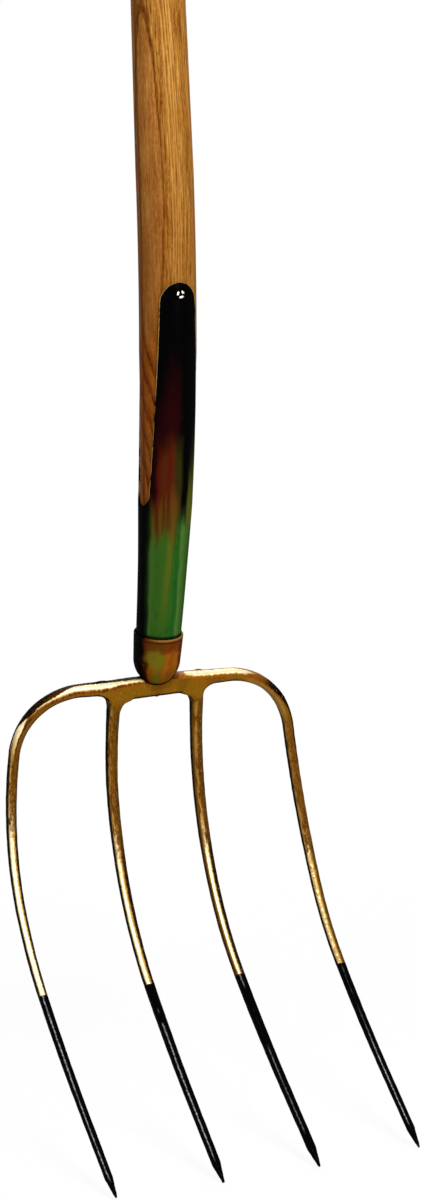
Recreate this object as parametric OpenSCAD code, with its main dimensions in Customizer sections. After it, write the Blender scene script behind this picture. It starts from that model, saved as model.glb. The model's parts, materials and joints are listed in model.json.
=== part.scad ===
// Four-tine manure fork: a forged head, a strapped socket and a bent ash handle.
// Millimetres. +Z runs up the straight shaft, -Y is the front, towards the tine points.
// The origin is on the shaft's axis, half way up its parallel length.

/* [Handle] */
// Diameter of the parallel shaft
shaft_d = 36; // [32:0.5:38]
// Length of the parallel shaft, below its domed end
shaft_len = 875; // [500:5:1000]
// Radius of the dome on the top end
dome_r = 24; // [20:0.5:60]
// Length of the straight swell between the shaft and the bend
swell_len = 135; // [80:5:260]
// Diameter of the belly at the top of the bend
belly_d = 38.8; // [37.5:0.1:42]
// Length of the belly along the bend
belly_len = 122; // [60:1:125]
// Diameter of the wood at the foot of the notch
mouth_d = 34; // [33:0.1:36.5]
// Diameter of the wood half way down the socket
waist_d = 31; // [29:0.1:33]
// Height of that place above the crossbar's line
waist_rise = 90; // [65:1:115]
// Diameter of the wood at its lower end, inside the socket
nose_d = 27.4; // [24:0.1:29]
// Room left between the wood's lower end and the cup's floor
nose_room = 5; // [2:0.5:12]

/* [Bend] */
// Radius of the bend above the neck
bend_r = 1215; // [1050:5:1600]
// Angle of the bend, which sets the head back from the shaft
bend_angle = 15; // [13:0.5:18]
// Straight neck, from the crossbar's line up to the cup's rim
neck_len = 38.5; // [34:0.5:44]

/* [Straps] */
// Thickness of the strap metal
strap_t = 1.4; // [1:0.1:2.5]
// Height of the notch's foot above the crossbar's line
notch_rise = 130.5; // [118:0.5:150]
// Length of a strap from the notch's foot to its rounded end
strap_len = 152; // [120:0.5:170]
// Width of a strap where its rounded end begins, along its curve
strap_top_w = 28; // [22:0.2:34]
// Width of the round notch between the straps, along its curve
notch_w = 20; // [12:0.5:26]

/* [Rivet] */
// Diameter of the rivet's shank
rivet_d = 5; // [4:0.5:7]
// Diameter of the rivet's heads
rivet_head_d = 8; // [7.5:0.1:11]
// Height of the rivet's heads
rivet_head_h = 1.9; // [1.2:0.1:3]
// Distance of the rivet below the strap's rounded end
rivet_drop = 7.5; // [6.5:0.1:12]

/* [Neck cup] */
// Thickness of the cup's wall at its rim
cup_rim_t = 1.5; // [1.2:0.1:3]
// Thickness of the cup's wall at its floor
cup_wall_t = 1; // [0.8:0.1:2.5]
// Depth of the cup's bore below its rim
cup_depth = 18.5; // [12:0.5:20]
// Distance that the cup's round bottom reaches below the crossbar's top
cup_reach = 4; // [2:0.25:6]
// Height of that round bottom
cup_round_h = 18.5; // [14:0.25:19]

/* [Crossbar] */
// Height of the crossbar between the inner tines
yoke_h = 14.5; // [11:0.25:18]
// Part of that height that lies above the crossbar's line
yoke_rise = 5; // [3:0.25:7]
// Depth of the crossbar between the inner tines, front to back
yoke_d = 10.5; // [9.5:0.25:14]
// Height of the crossbar outside the inner tines
bar_h = 8.6; // [7:0.1:10.5]
// Depth of the crossbar outside the inner tines
bar_d = 9; // [7:0.1:10.5]
// Straight half of the crossbar, from its middle to the bow
bow_half = 55.8; // [50:0.2:80]
// Radius of the bow that turns into an outer tine
bow_r = 48.2; // [35:0.2:60]
// Angle of that bow
bow_angle = 82.5; // [78:0.25:86]
// Radius of the outer tine's long flank below the bow
flank_r = 830; // [600:5:1200]
// Angle of that flank
flank_angle = 7.9; // [5:0.1:10]

/* [Tines] */
// Length of an inner tine along its curve, from the crossbar's line
tine_len = 374; // [350:1:420]
// Amount by which the outer tines end short of the inner ones
outer_short = 2; // [0:0.5:10]
// Spacing of the inner tines at the crossbar
inner_root = 64; // [58:0.1:76]
// Spacing of the inner tines at their points
inner_tip = 69.2; // [58:0.1:90]
// Radius of the tines' forward bend
tine_bend_r = 210; // [180:1:260]
// Angle of that bend
tine_bend_angle = 59; // [45:0.5:65]
// Radius of the flatter curve below it
ease_r = 950; // [600:10:1400]
// Angle of that flatter curve
ease_angle = 5.7; // [2:0.1:8]
// Thickness of an inner tine below its root
inner_w = 8.2; // [6:0.1:10]
// Thickness of an outer tine below the bow
outer_w = 7.2; // [5:0.1:8.5]
// Thickness of an inner tine above its ground point
inner_end_w = 5.5; // [3.5:0.1:6.5]
// Thickness of an outer tine above its ground point
outer_end_w = 5; // [3.5:0.1:6]
// Length of the ground point
point_len = 15; // [8:0.5:20]
// Thickness of the blunt end of a point
point_w = 1.7; // [0.8:0.1:2.5]
// Radius where an inner tine meets the crossbar towards the middle
fillet_in = 10; // [5:0.5:11]
// Radius where an inner tine meets the crossbar towards its bow
fillet_out = 8; // [4:0.5:12]

/* [Hidden] */
$fn = 64;

// Clearances between seated pieces
wood_gap = 0.1;
cup_gap = 0.15;
seam_gap = 0.15;
rivet_gap = 0.15;
saddle_gap = 0.15;
// How far a cut runs past what it cuts, and how far the bent wood laps into the swell
overrun = 2;
lap = 4;
// How far the bent wood's corners lie inside the swell, and a tine's root inside the crossbar's faces
lap_inset = 0.03;
root_inset = 0.15;

// Fineness of the swept surfaces: sides and steps
wood_sides = 40;
wood_step = 12;
strap_columns = 16;
corner_points = 4;
bow_step = 5;
tine_step = 12;
root_step = 2.4;
round_rows = 7;
arc_steps = 10;
// The strap's round end stops this far round, to leave a narrow edge
round_end_angle = 85;

// Places along the axis, as heights above the crossbar's line
bend_len = bend_r * bend_angle * PI / 180;
bend_top = neck_len + bend_len;
belly_rise = bend_top - belly_len;
cup_floor = neck_len - cup_depth;
nose_rise = cup_floor + nose_room;
notch_top = notch_rise + notch_w / 2;
strap_top = notch_rise + strap_len;
round_rise = strap_top - strap_top_w / 2;
rivet_rise = strap_top - rivet_drop;
crossbar_drop = shaft_len / 2 + swell_len + bend_top;

// Runs of [length, turn]: the handle's axis downwards, a tine's side view, and the crossbar's front view
axis_runs = [[shaft_len / 2 + swell_len, 0], [bend_len, -bend_angle], [neck_len, 0]];
tine_bend_len = tine_bend_r * tine_bend_angle * PI / 180;
ease_len = ease_r * ease_angle * PI / 180;
tine_runs = [[tine_bend_len, tine_bend_angle], [ease_len, ease_angle], [tine_len, 0]];
bow_len = bow_r * bow_angle * PI / 180;
flank_len = flank_r * flank_angle * PI / 180;
bow_foot = bow_half + bow_len;
flank_foot = bow_foot + flank_len;
curved_runs = [[bow_half, 0], [bow_len, bow_angle], [flank_len, flank_angle]];
flank_end = trace(curved_runs, flank_foot, 0);
leg_len = (tine_len - outer_short - flank_end[0][1]) / sin(flank_end[1]);
bow_runs = concat(curved_runs, [[leg_len, 0]]);
bow_total = flank_foot + leg_len;

// The crossbar keeps its full section across the cup, and its full depth across the inner tines
cup_rim_r = strap_outer_r(neck_len) + cup_gap + cup_rim_t;
yoke_half = cup_rim_r + overrun;
root_half = inner_root / 2 + inner_w / 2 + fillet_out;
root_d = yoke_d - 2 * root_inset;
root_len = yoke_h + 2 * fillet_in;
// Share of a section's smaller side that its corner radius takes
corner_share = 0.3;
// Shares of the rivet's head: its straight edge, the dimple's radius and the dimple's depth
rivet_edge_share = 0.35;
dimple_share = 0.34;
dimple_depth_share = 0.55;

wood_colour = [0.66, 0.42, 0.16];
strap_colour = [0.14, 0.24, 0.08];
cup_colour = [0.50, 0.33, 0.07];
head_colour = [0.68, 0.50, 0.14];
rivet_colour = [0.80, 0.80, 0.80];

function mix(a, b, k) = a + (b - a) * k;

// The point reached from p after an arc of this length and turn, starting at this heading
function arc_end(p, heading, length, turn) =
    turn == 0
    ? p + length * [cos(heading), sin(heading)]
    : p + length * 180 / PI / turn * [sin(heading + turn) - sin(heading), cos(heading) - cos(heading + turn)];

// [point, heading] at a length along the runs; the last run goes on past its end
function trace(runs, at, heading, i = 0, p = [0, 0]) =
    at <= runs[i][0] || i == len(runs) - 1
    ? let (turn = runs[i][1] * at / runs[i][0]) [arc_end(p, heading, at, turn), heading + turn]
    : trace(runs, at - runs[i][0], heading + runs[i][1], i + 1, arc_end(p, heading, runs[i][0], runs[i][1]));

// [point, heading] on the handle's axis in the side view, as [down, forward]
function axis_at(rise) = trace(axis_runs, crossbar_drop - rise, 0);

// A point at this radius from the axis, at this angle from the front
function round_axis(rise, r, angle) =
    let (q = axis_at(rise), out = r * cos(angle))
    [r * sin(angle), -q[0][1] - out * cos(q[1]), -q[0][0] + out * sin(q[1])];

// A point on the bent sheet that the head lies in: across, down the tines, and forward of the sheet
function on_sheet(across, down, forward) =
    let (q = trace(tine_runs, down, -bend_angle), c = axis_at(0)[0])
    [across, -c[1] - q[0][1] - forward * cos(q[1]), -c[0] - q[0][0] + forward * sin(q[1])];

// Radii of the wood and of the straps round it
function wood_r(rise) = lookup(rise, [
    [nose_rise, nose_d / 2],
    [waist_rise, waist_d / 2],
    [notch_rise, mouth_d / 2],
    [belly_rise, belly_d / 2],
    [bend_top, belly_d / 2],
    [bend_top + swell_len, shaft_d / 2],
]);
function strap_inner_r(rise) = wood_r(rise) + wood_gap;
function strap_outer_r(rise) = strap_inner_r(rise) + strap_t;

// Corners of a round-cornered section with its own reach on each side, as [out, forward]
function section(outer, inner, depth) =
    let (r = corner_share * min(outer + inner, depth))
    [for (q = [0:3], k = [0:corner_points - 1])
        let (a = 90 * (q + k / (corner_points - 1)), side = q == 0 || q == 3, front = q < 2)
        [(side ? outer - r : r - inner) + r * cos(a), (front ? depth / 2 - r : r - depth / 2) + r * sin(a)]];

// Growth of a tine's side towards the crossbar's edge, as a quarter round
function fillet(down, edge, r) =
    let (up = min(r, max(0, edge + r - down)))
    r - sqrt(r * r - up * up);

// Thickness of a tine at a share of its length, thinned over its ground point to the blunt end
function tine_w(root_w, end_w, share, left) =
    left >= point_len ? mix(root_w, end_w, share) : mix(point_w, end_w, left / point_len);

// Even stations from one length to another, without the last
function spread(from, to, step) =
    let (n = ceil((to - from) / step))
    [for (k = [0:1:n - 1]) mix(from, to, k / n)];

// Reach of the crossbar's section up and down, and its depth, at a length from its middle
function bar_size(at) =
    let (
        share = max(0, at - bow_foot) / (bow_total - bow_foot),
        w = tine_w(outer_w, outer_end_w, share, bow_total - at)
    )
    [
        lookup(at, [[yoke_half, yoke_rise], [root_half, bar_h / 2], [bow_foot, w / 2]]),
        lookup(at, [[yoke_half, yoke_h - yoke_rise], [root_half, bar_h / 2], [bow_foot, w / 2]]),
        lookup(at, [[root_half, yoke_d], [bow_half, bar_d], [bow_foot, w]]),
    ];

// A ring of the crossbar and outer tines, at a signed length from the middle
function bar_ring(at, room = 0) =
    let (q = trace(bow_runs, abs(at), 0), size = bar_size(abs(at)))
    [for (c = section(size[0] + room, size[1] + room, size[2] + 2 * room))
        on_sheet(sign(at) * (q[0][0] + c[0] * sin(q[1])), q[0][1] - c[0] * cos(q[1]), c[1])];

// A ring of the inner tine on the right, at a length down it
function tine_ring(down) =
    let (
        share = max(0, down) / tine_len,
        x = mix(inner_root, inner_tip, share) / 2,
        w = tine_w(inner_w, inner_end_w, share, tine_len - down),
        depth = lookup(down, [[yoke_h - yoke_rise, root_d], [root_len, w]]),
        outer = w / 2 + fillet(down, bar_h / 2, fillet_out),
        inner = w / 2 + fillet(down, yoke_h - yoke_rise, fillet_in)
    )
    [for (c = section(outer, inner, depth)) on_sheet(x + c[0], down, c[1])];

// Half the angle that a strap takes up round the axis
function strap_angle(rise) =
    let (
        r = strap_outer_r(rise),
        up = max(0, rise - notch_rise),
        bite = notch_w / 2,
        seam = PI / 2 * r,
        round_notch = seam - sqrt(max(0, bite * bite - pow(bite - up, 2))),
        foot = PI / 2 * strap_outer_r(notch_top) - bite,
        taper = mix(foot, strap_top_w / 2, (rise - notch_top) / (round_rise - notch_top)),
        round_end = sqrt(max(0, pow(strap_top_w / 2, 2) - pow(rise - round_rise, 2))),
        half = rise < notch_top ? round_notch : rise < round_rise ? taper : round_end
    )
    (half - seam_gap / 2) / r * 180 / PI;

// Heights of the wood's rings over the bend
wood_rises = concat(
    spread(nose_rise, waist_rise, wood_step),
    spread(waist_rise, notch_rise, wood_step),
    spread(notch_rise, belly_rise, wood_step),
    spread(belly_rise, bend_top, wood_step),
    [bend_top]
);

// Heights of a strap's rows: the socket, the round of the notch, the strap and its round end
strap_rises = concat(
    [cup_floor + cup_gap],
    spread(nose_rise, waist_rise, wood_step),
    spread(waist_rise, notch_rise, wood_step),
    [for (k = [0:round_rows - 1]) notch_rise + notch_w / 2 * (1 - cos(90 * k / round_rows))],
    spread(notch_top, round_rise, wood_step),
    [for (k = [0:round_rows]) round_rise + strap_top_w / 2 * sin(round_end_angle * k / round_rows)]
);

// Faces of the walls between rings of n points each
function wall_faces(n, last) =
    [for (j = [0:last - 1], i = [0:n - 1])
        let (a = j * n + i, b = j * n + (i + 1) % n) each [[a, a + n, b], [b, a + n, b + n]]];

// A solid swept through rings of points, closed by a fan at each end
module loft(rings) {
    n = len(rings[0]);
    last = len(rings) - 1;
    polyhedron(
        points = [for (ring = rings, p = ring) p],
        faces = concat(
            wall_faces(n, last),
            [for (i = [1:n - 2]) [0, i, i + 1]],
            [for (i = [1:n - 2]) [last * n, last * n + i + 1, last * n + i]]
        )
    );
}

// A ring round the handle's axis, just under the swell's surface
function wood_ring(rise) =
    [for (i = [0:wood_sides - 1]) round_axis(rise, wood_r(rise) - lap_inset, 360 * i / wood_sides)];

// Places children on the handle's axis at a height, with Z up the axis
module on_axis(rise) {
    q = axis_at(rise);
    translate([0, -q[0][1], -q[0][0]]) rotate([-q[1], 0, 0]) children();
}

// The hole that the rivet needs through the wood and the straps
module rivet_hole() {
    reach = strap_outer_r(rivet_rise) + overrun;
    on_axis(rivet_rise) rotate([90, 0, 0])
        cylinder(d = rivet_d + 2 * rivet_gap, h = 2 * reach, center = true);
}

// Half of the socket with its strap, centred on the front or the rear
module strap_half(middle) {
    rows = [for (rise = strap_rises)
        let (
            half = strap_angle(rise),
            angles = [for (i = [0:strap_columns]) middle + half * (2 * i / strap_columns - 1)]
        )
        concat(
            [for (i = [0:strap_columns]) round_axis(rise, strap_outer_r(rise), angles[i])],
            [for (i = [strap_columns:-1:0]) round_axis(rise, strap_inner_r(rise), angles[i])]
        )];
    difference() {
        strap_loft(rows);
        rivet_hole();
    }
}

// A strap's solid: its rows swept upwards, with each end closed as a strip between its two faces
module strap_loft(rows) {
    n = len(rows[0]);
    last = len(rows) - 1;
    polyhedron(
        points = [for (row = rows, p = row) p],
        faces = concat(
            wall_faces(n, last),
            [for (i = [0:strap_columns - 1]) [i, i + 1, n - 2 - i]],
            [for (i = [0:strap_columns - 1]) [i, n - 2 - i, n - 1 - i]],
            [for (i = [0:strap_columns - 1]) last * n * [1, 1, 1] + [i, n - 2 - i, i + 1]],
            [for (i = [0:strap_columns - 1]) last * n * [1, 1, 1] + [i, n - 1 - i, n - 2 - i]]
        )
    );
}

module handle() {
    half = shaft_len / 2;
    dome_z = half - sqrt(dome_r * dome_r - shaft_d * shaft_d / 4);
    dome_angle = asin(shaft_d / 2 / dome_r);
    color(wood_colour) difference() {
        union() {
            rotate_extrude() polygon(concat(
                [[0, -half - swell_len], [belly_d / 2, -half - swell_len], [shaft_d / 2, -half]],
                [for (k = [0:arc_steps])
                    let (a = dome_angle * (1 - k / arc_steps)) [dome_r * sin(a), dome_z + dome_r * cos(a)]]
            ));
            loft([for (rise = concat(wood_rises, [bend_top + lap])) wood_ring(rise)]);
        }
        rivet_hole();
    }
}

module front_strap() {
    color(strap_colour) strap_half(0);
}

module rear_strap() {
    color(strap_colour) strap_half(180);
}

// Through rivet: a dimpled round head in front and a plain one, closed up, behind
module strap_rivet() {
    base = strap_outer_r(rivet_rise);
    head_r = rivet_head_d / 2;
    edge = rivet_edge_share * rivet_head_h;
    dimple = dimple_share * head_r;
    color(rivet_colour) on_axis(rivet_rise) rotate([90, 0, 0]) rotate_extrude() polygon(concat(
        [[0, -base - rivet_head_h]],
        [for (k = [1:arc_steps])
            let (a = 90 * k / arc_steps) [head_r * sin(a), -base - edge - (rivet_head_h - edge) * cos(a)]],
        [[head_r, -base], [rivet_d / 2, -base], [rivet_d / 2, base], [head_r, base]],
        [for (k = [0:arc_steps])
            let (a = 90 * (1 - k / arc_steps))
            [mix(dimple, head_r, sin(a)), base + edge + (rivet_head_h - edge) * cos(a)]],
        [[0, base + rivet_head_h * (1 - dimple_depth_share)]]
    ));
}

// Cup that takes the socket's foot, with a round bottom cut to straddle the crossbar
module neck_cup() {
    bore_floor = strap_outer_r(cup_floor) + cup_gap;
    base_r = bore_floor + cup_wall_t;
    bottom = yoke_rise - cup_reach;
    lip = cup_rim_t / 2;
    color(cup_colour) difference() {
        on_axis(0) rotate_extrude() polygon(concat(
            [for (k = [0:arc_steps])
                let (a = 90 * k / arc_steps) [base_r * sin(a), bottom + cup_round_h * (1 - cos(a))]],
            [for (k = [0:arc_steps])
                let (a = 180 * k / arc_steps) [cup_rim_r - lip * (1 - cos(a)), neck_len - lip * (1 - sin(a))]],
            [[bore_floor, cup_floor], [0, cup_floor]]
        ));
        loft([for (at = [-yoke_half, yoke_half]) bar_ring(at, saddle_gap)]);
    }
}

// One forging: the crossbar with its two bows and outer tines, and the two inner tines
module fork_head() {
    half = concat(
        spread(0, yoke_half, bow_step),
        spread(yoke_half, root_half, bow_step),
        spread(root_half, bow_half, bow_step),
        spread(bow_half, bow_foot, bow_step),
        spread(bow_foot, bow_total - point_len, tine_step),
        [bow_total - point_len, bow_total]
    );
    mirrored = [for (k = [len(half) - 1:-1:1]) -half[k]];
    downs = concat(
        spread(-yoke_rise / 2, root_len, root_step),
        spread(root_len, tine_len - point_len, tine_step),
        [tine_len - point_len, tine_len]
    );
    color(head_colour) union() {
        loft([for (at = concat(mirrored, half)) bar_ring(at)]);
        loft([for (down = downs) tine_ring(down)]);
        mirror([1, 0, 0]) loft([for (down = downs) tine_ring(down)]);
    }
}

handle();
front_strap();
rear_strap();
strap_rivet();
neck_cup();
fork_head();
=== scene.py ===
"""A manure fork: its pieces are made straight on the bench, bent to the fork's line and finished."""

import json
import math
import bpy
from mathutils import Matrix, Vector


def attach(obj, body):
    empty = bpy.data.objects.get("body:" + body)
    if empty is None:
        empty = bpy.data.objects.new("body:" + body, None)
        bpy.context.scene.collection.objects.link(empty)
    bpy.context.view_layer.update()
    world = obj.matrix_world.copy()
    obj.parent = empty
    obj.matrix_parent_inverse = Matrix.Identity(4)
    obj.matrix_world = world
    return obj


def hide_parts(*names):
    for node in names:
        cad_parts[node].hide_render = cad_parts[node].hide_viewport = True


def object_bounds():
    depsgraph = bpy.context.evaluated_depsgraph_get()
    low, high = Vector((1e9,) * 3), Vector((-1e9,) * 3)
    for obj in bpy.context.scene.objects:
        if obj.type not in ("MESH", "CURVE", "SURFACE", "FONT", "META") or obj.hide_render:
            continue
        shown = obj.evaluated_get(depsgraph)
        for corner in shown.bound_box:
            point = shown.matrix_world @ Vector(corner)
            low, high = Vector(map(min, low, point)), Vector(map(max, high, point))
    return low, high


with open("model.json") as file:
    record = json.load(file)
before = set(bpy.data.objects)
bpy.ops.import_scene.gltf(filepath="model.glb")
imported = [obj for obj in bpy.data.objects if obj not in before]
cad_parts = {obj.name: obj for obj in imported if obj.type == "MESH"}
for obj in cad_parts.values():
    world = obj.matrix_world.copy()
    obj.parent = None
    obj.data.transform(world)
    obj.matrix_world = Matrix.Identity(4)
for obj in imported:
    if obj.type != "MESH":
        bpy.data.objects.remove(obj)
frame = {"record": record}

from types import SimpleNamespace

import bpy
from bpy.props import FloatProperty, FloatVectorProperty, PointerProperty
from mathutils import Matrix, Vector

bl_info = {
    "name": "Manure fork",
    "version": (1, 0, 0),
    "blender": (4, 5, 0),
    "location": "View3D > Sidebar > Fork",
    "description": "Builds a manure fork with a forged head, a strapped socket and a bent ash handle",
    "category": "Add Mesh",
}

CAD_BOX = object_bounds()
GRIP = next(mount["dims"] for mount in frame["record"]["mounts"] if mount["name"] == "grip")
BODY = "root"
BEND_NAME = "Bend to the fork's line"
MM = 0.001
FRAME_PIXELS = (421, 1200)
WHITE = (1.0, 1.0, 1.0, 1.0)

# Sides of a turned piece, and the angle at which a dome's rings give way to its flat cap
ROUND_SIDES = 96
NEAR_POLE = math.radians(88)


# Properties

def length(name, description, millimetres):
    """A size in metres, from its millimetres."""
    return FloatProperty(
        name=name, description=description, default=millimetres * MM, unit="LENGTH", precision=5)


def turn(name, description, degrees):
    """An angle, from its degrees."""
    return FloatProperty(
        name=name, description=description, default=math.radians(degrees), subtype="ANGLE")


def share(name, description, default):
    """A plain number."""
    return FloatProperty(name=name, description=description, default=default)


def colour(name, description, *screen):
    """A colour, from its red, green and blue as a screen shows them."""
    linear = [((v / 255 + 0.055) / 1.055) ** 2.4 if v > 10 else v / 255 / 12.92 for v in screen]
    return FloatVectorProperty(
        name=name, description=description, default=(*linear, 1.0), size=4, subtype="COLOR")


class HandleSizes(bpy.types.PropertyGroup):
    """The ash handle and the line that it and the head follow."""
    shaft_d: length("Shaft", "Diameter of the parallel shaft", 2 * GRIP["r_mm"])
    shaft_len: length("Shaft length", "Length of the parallel shaft", GRIP["length_mm"])
    dome_r: length("Dome", "Radius of the dome on the top end", 24)
    swell_len: length("Swell", "Length of the swell between the shaft and the bend", 135)
    belly_d: length("Belly", "Diameter at the top of the bend", 38.8)
    belly_len: length("Belly length", "Length of the belly along the bend", 122)
    mouth_d: length("Mouth", "Diameter of the wood at the foot of the notch", 34)
    waist_d: length("Waist", "Diameter of the wood half way down the socket", 31)
    waist_rise: length("Waist height", "Height of that place above the crossbar's line", 90)
    nose_d: length("Nose", "Diameter of the wood's lower end", 27.4)
    nose_rise: length("Nose height", "Height of that end above the crossbar's line", 25)
    bend_r: length("Bend", "Radius of the bend above the neck", 1215)
    bend_angle: turn("Bend angle", "Angle of the bend", 15)
    neck_len: length("Neck", "Straight neck, from the crossbar's line to the cup's rim", 38.5)


class SocketSizes(bpy.types.PropertyGroup):
    """The straps, their rivet and the cup."""
    strap_t: length("Strap", "Thickness of the strap metal", 1.4)
    strap_round: length("Strap edge", "Rounding of the straps' edges", 0.4)
    wood_gap: length("Bedding", "Gap between the wood and the straps", 0.1)
    seam_gap: length("Seam", "Gap along the side seams", 0.15)
    strap_foot: length("Strap foot", "Height of the straps' foot above the crossbar's line", 20.15)
    notch_rise: length("Notch", "Height of the notch's foot above the crossbar's line", 130.5)
    notch_w: length("Notch width", "Width of the round notch", 20)
    strap_len: length("Strap length", "Length from the notch's foot to the rounded end", 152)
    strap_top_w: length("Strap width", "Width where the rounded end begins", 28)
    rivet_d: length("Rivet", "Diameter of the rivet's shank", 5)
    rivet_head_d: length("Rivet head", "Diameter of the rivet's heads", 8)
    rivet_head_h: length("Rivet height", "Height of the rivet's heads", 1.9)
    rivet_drop: length("Rivet drop", "Distance of the rivet below the rounded end", 7.5)
    cup_gap: length("Cup gap", "Gap between the socket and the cup's bore", 0.15)
    cup_rim_t: length("Cup rim", "Thickness of the cup's wall at its rim", 1.5)
    cup_wall_t: length("Cup wall", "Thickness of the cup's wall at its floor", 1.0)
    cup_depth: length("Cup depth", "Depth of the cup's bore", 18.5)
    cup_reach: length("Cup reach", "Reach of the cup's round bottom below the crossbar's top", 4)
    cup_round_h: length("Cup round", "Height of the cup's round bottom", 18.5)
    green_rise: length("Green", "Height above the crossbar's line at which the green ends", 126)
    maroon_rise: length("Maroon", "Height at which the red and brown streaks fade into maroon", 173)
    black_rise: length("Black", "Height at which the straps turn black", 218)


class HeadSizes(bpy.types.PropertyGroup):
    """The forged head."""
    yoke_h: length("Yoke", "Height of the crossbar between the inner tines", 14.5)
    yoke_rise: length("Yoke rise", "Part of that height above the crossbar's line", 5)
    yoke_d: length("Yoke depth", "Depth of the crossbar between the inner tines", 10.5)
    yoke_half: length("Yoke half", "Half of the length that keeps the full section", 19.3)
    bar_h: length("Bar", "Height of the crossbar outside the inner tines", 8.6)
    bar_d: length("Bar depth", "Depth of the crossbar outside the inner tines", 9)
    bow_half: length("Bow start", "Straight half of the crossbar", 55.8)
    bow_r: length("Bow", "Radius of the bow that turns into an outer tine", 48.2)
    bow_angle: turn("Bow angle", "Angle of that bow", 82.5)
    flank_r: length("Flank", "Radius of the outer tine's flank", 830)
    flank_angle: turn("Flank angle", "Angle of that flank", 7.9)
    tine_len: length("Tines", "Length of an inner tine along its curve", 374)
    outer_short: length("Outer short", "Amount by which the outer tines end short", 2)
    inner_root: length("Root spacing", "Spacing of the inner tines at the crossbar", 64)
    inner_tip: length("Point spacing", "Spacing of the inner tines at their points", 69.2)
    tine_bend_r: length("Tine bend", "Radius of the tines' forward bend", 210)
    tine_bend_angle: turn("Tine bend angle", "Angle of that bend", 59)
    ease_r: length("Ease", "Radius of the flatter curve below it", 950)
    ease_angle: turn("Ease angle", "Angle of that flatter curve", 5.7)
    inner_w: length("Inner tine", "Thickness of an inner tine below its root", 8.2)
    outer_w: length("Outer tine", "Thickness of an outer tine below the bow", 7.2)
    inner_end_w: length("Inner end", "Thickness of an inner tine above its ground point", 5.5)
    outer_end_w: length("Outer end", "Thickness of an outer tine above its ground point", 5)
    point_len: length("Point", "Length of the ground point", 15)
    point_w: length("Point end", "Thickness of the blunt end", 1.7)
    fillet_in: length("Inner fillet", "Radius at a root towards the middle", 10)
    fillet_out: length("Outer fillet", "Radius at a root towards the bow", 8)
    corner: share("Corner share", "Share of a section's smaller side that its corner radius takes", 0.3)
    forge_skin: length("Skin", "Size of the facets that join the forging's limbs", 0.75)
    lump_r: length("Forge lumps", "Radius of the small lumps left by the hammer", 2.2)
    skew_up: length("Skew up", "Rise of the crossbar's right half, as it was forged", 1.6)
    skew_in: length("Skew in", "Amount by which the left inner tine starts nearer the middle", 1.6)
    mark_d: length("Hammer marks", "Depth of the hammer's marks", 0.35)
    mark_w: length("Mark width", "Width of the hammer's marks", 7)
    dip_len: length("Dip", "Length of the black ends, from the points", 158)
    dip_slant: share("Dip slant", "Slope of the dip's edge across the head", 0.031)


class Finishes(bpy.types.PropertyGroup):
    """Colours of the wood, the lacquers and the steel."""
    ash_pale: colour("Pale ash", "Light fibres", 206, 152, 76)
    ash_gold: colour("Golden ash", "Wood cut across its rings", 164, 108, 36)
    ash_tan: colour("Tan ash", "Wood cut along its rings", 158, 98, 41)
    # Brown ash and dark ash also serve as painted shade on the wood's left side
    ash_brown: colour("Brown ash", "Dark fibres", 116, 62, 12)
    ash_dark: colour("Dark ash", "Open pores at the start of a ring", 92, 40, 4)
    ash_red: colour("Red ash", "Oil-stained wood beside the straps", 146, 74, 11)
    ash_line: colour("Ash line", "Rings in the stained wood", 80, 23, 2)
    # The straps' colours below, from the black to the deep green, are mostly painted reflection and
    # painted shade on a green lacquer; leaf green is the lacquer's own colour
    shade_and_reflection_black: colour("Black japan", "Lacquer near the rivet", 1, 1, 2)
    maroon: colour("Maroon", "Lacquer above the notch", 33, 3, 4)
    oxblood: colour("Oxblood", "Red lacquer beside the notch", 78, 20, 8)
    umber: colour("Umber", "Brown streaks in the lacquer", 76, 32, 6)
    tan_umber: colour("Tan umber", "Scorched edge of the green", 94, 56, 14)
    dark_olive: colour("Dark olive", "Olive streak in the maroon", 44, 40, 8)
    bottle_green: colour("Bottle green", "Dark green lacquer", 16, 34, 8)
    leaf_green: colour("Leaf green", "Green lacquer on the socket", 49, 89, 24)
    fern: colour("Fern", "Bright green streaks", 62, 100, 38)
    olive: colour("Olive", "Olive streaks", 86, 92, 20)
    lime: colour("Lime", "Pale green on the right flank", 74, 110, 48)
    deep_green: colour("Deep green", "Dark streak in the green", 30, 86, 24)
    moss: colour("Moss", "Yellow-green clouds on the cup", 112, 100, 18)
    pea_green: colour("Pea green", "Green clouds on the cup", 92, 106, 18)
    rust_gold: colour("Rust gold", "Orange-brown lacquer on the cup", 148, 84, 14)
    rust_brown: colour("Rust brown", "Browner streaks on the cup", 138, 70, 9)
    brick: colour("Brick", "Red-brown lacquer on the cup", 86, 34, 7)
    dark_brick: colour("Dark brick", "Darkest red of the cup", 34, 5, 1)
    # Line brown and dark bronze serve partly as painted shade on the head, and brass mostly as a painted
    # highlight
    line_brown: colour("Line brown", "Brown lines on the gold", 66, 34, 4)
    dark_bronze: colour("Dark bronze", "Shaded gold lacquer", 88, 52, 8)
    bronze: colour("Bronze", "Brown-gold lacquer", 118, 74, 13)
    old_gold: colour("Old gold", "Gold lacquer on the crossbar", 134, 89, 10)
    brass: colour("Brass", "Light gold lacquer", 196, 156, 82)
    # Painted highlights on the gold lacquer
    highlight_cream: colour("Cream", "Worn highlights of the gold lacquer", 246, 229, 181)
    # Painted shade: black on the sides, edges and undersides turned from the light, on the head, the cup
    # and the rivet
    shade_black: colour("Scale", "Dark scale on the sides of the tines", 8, 3, 1)
    dip_black: colour("Dip black", "Black lacquer on the tine ends", 2, 2, 3)
    # Painted highlights: grey glints on the black ends, and the rivet's bright patches
    glint_grey: colour("Scuff", "Bare steel where the black is worn", 176, 176, 177)
    steel: colour("Steel", "Bright steel of the rivet", 240, 236, 232)


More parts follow.
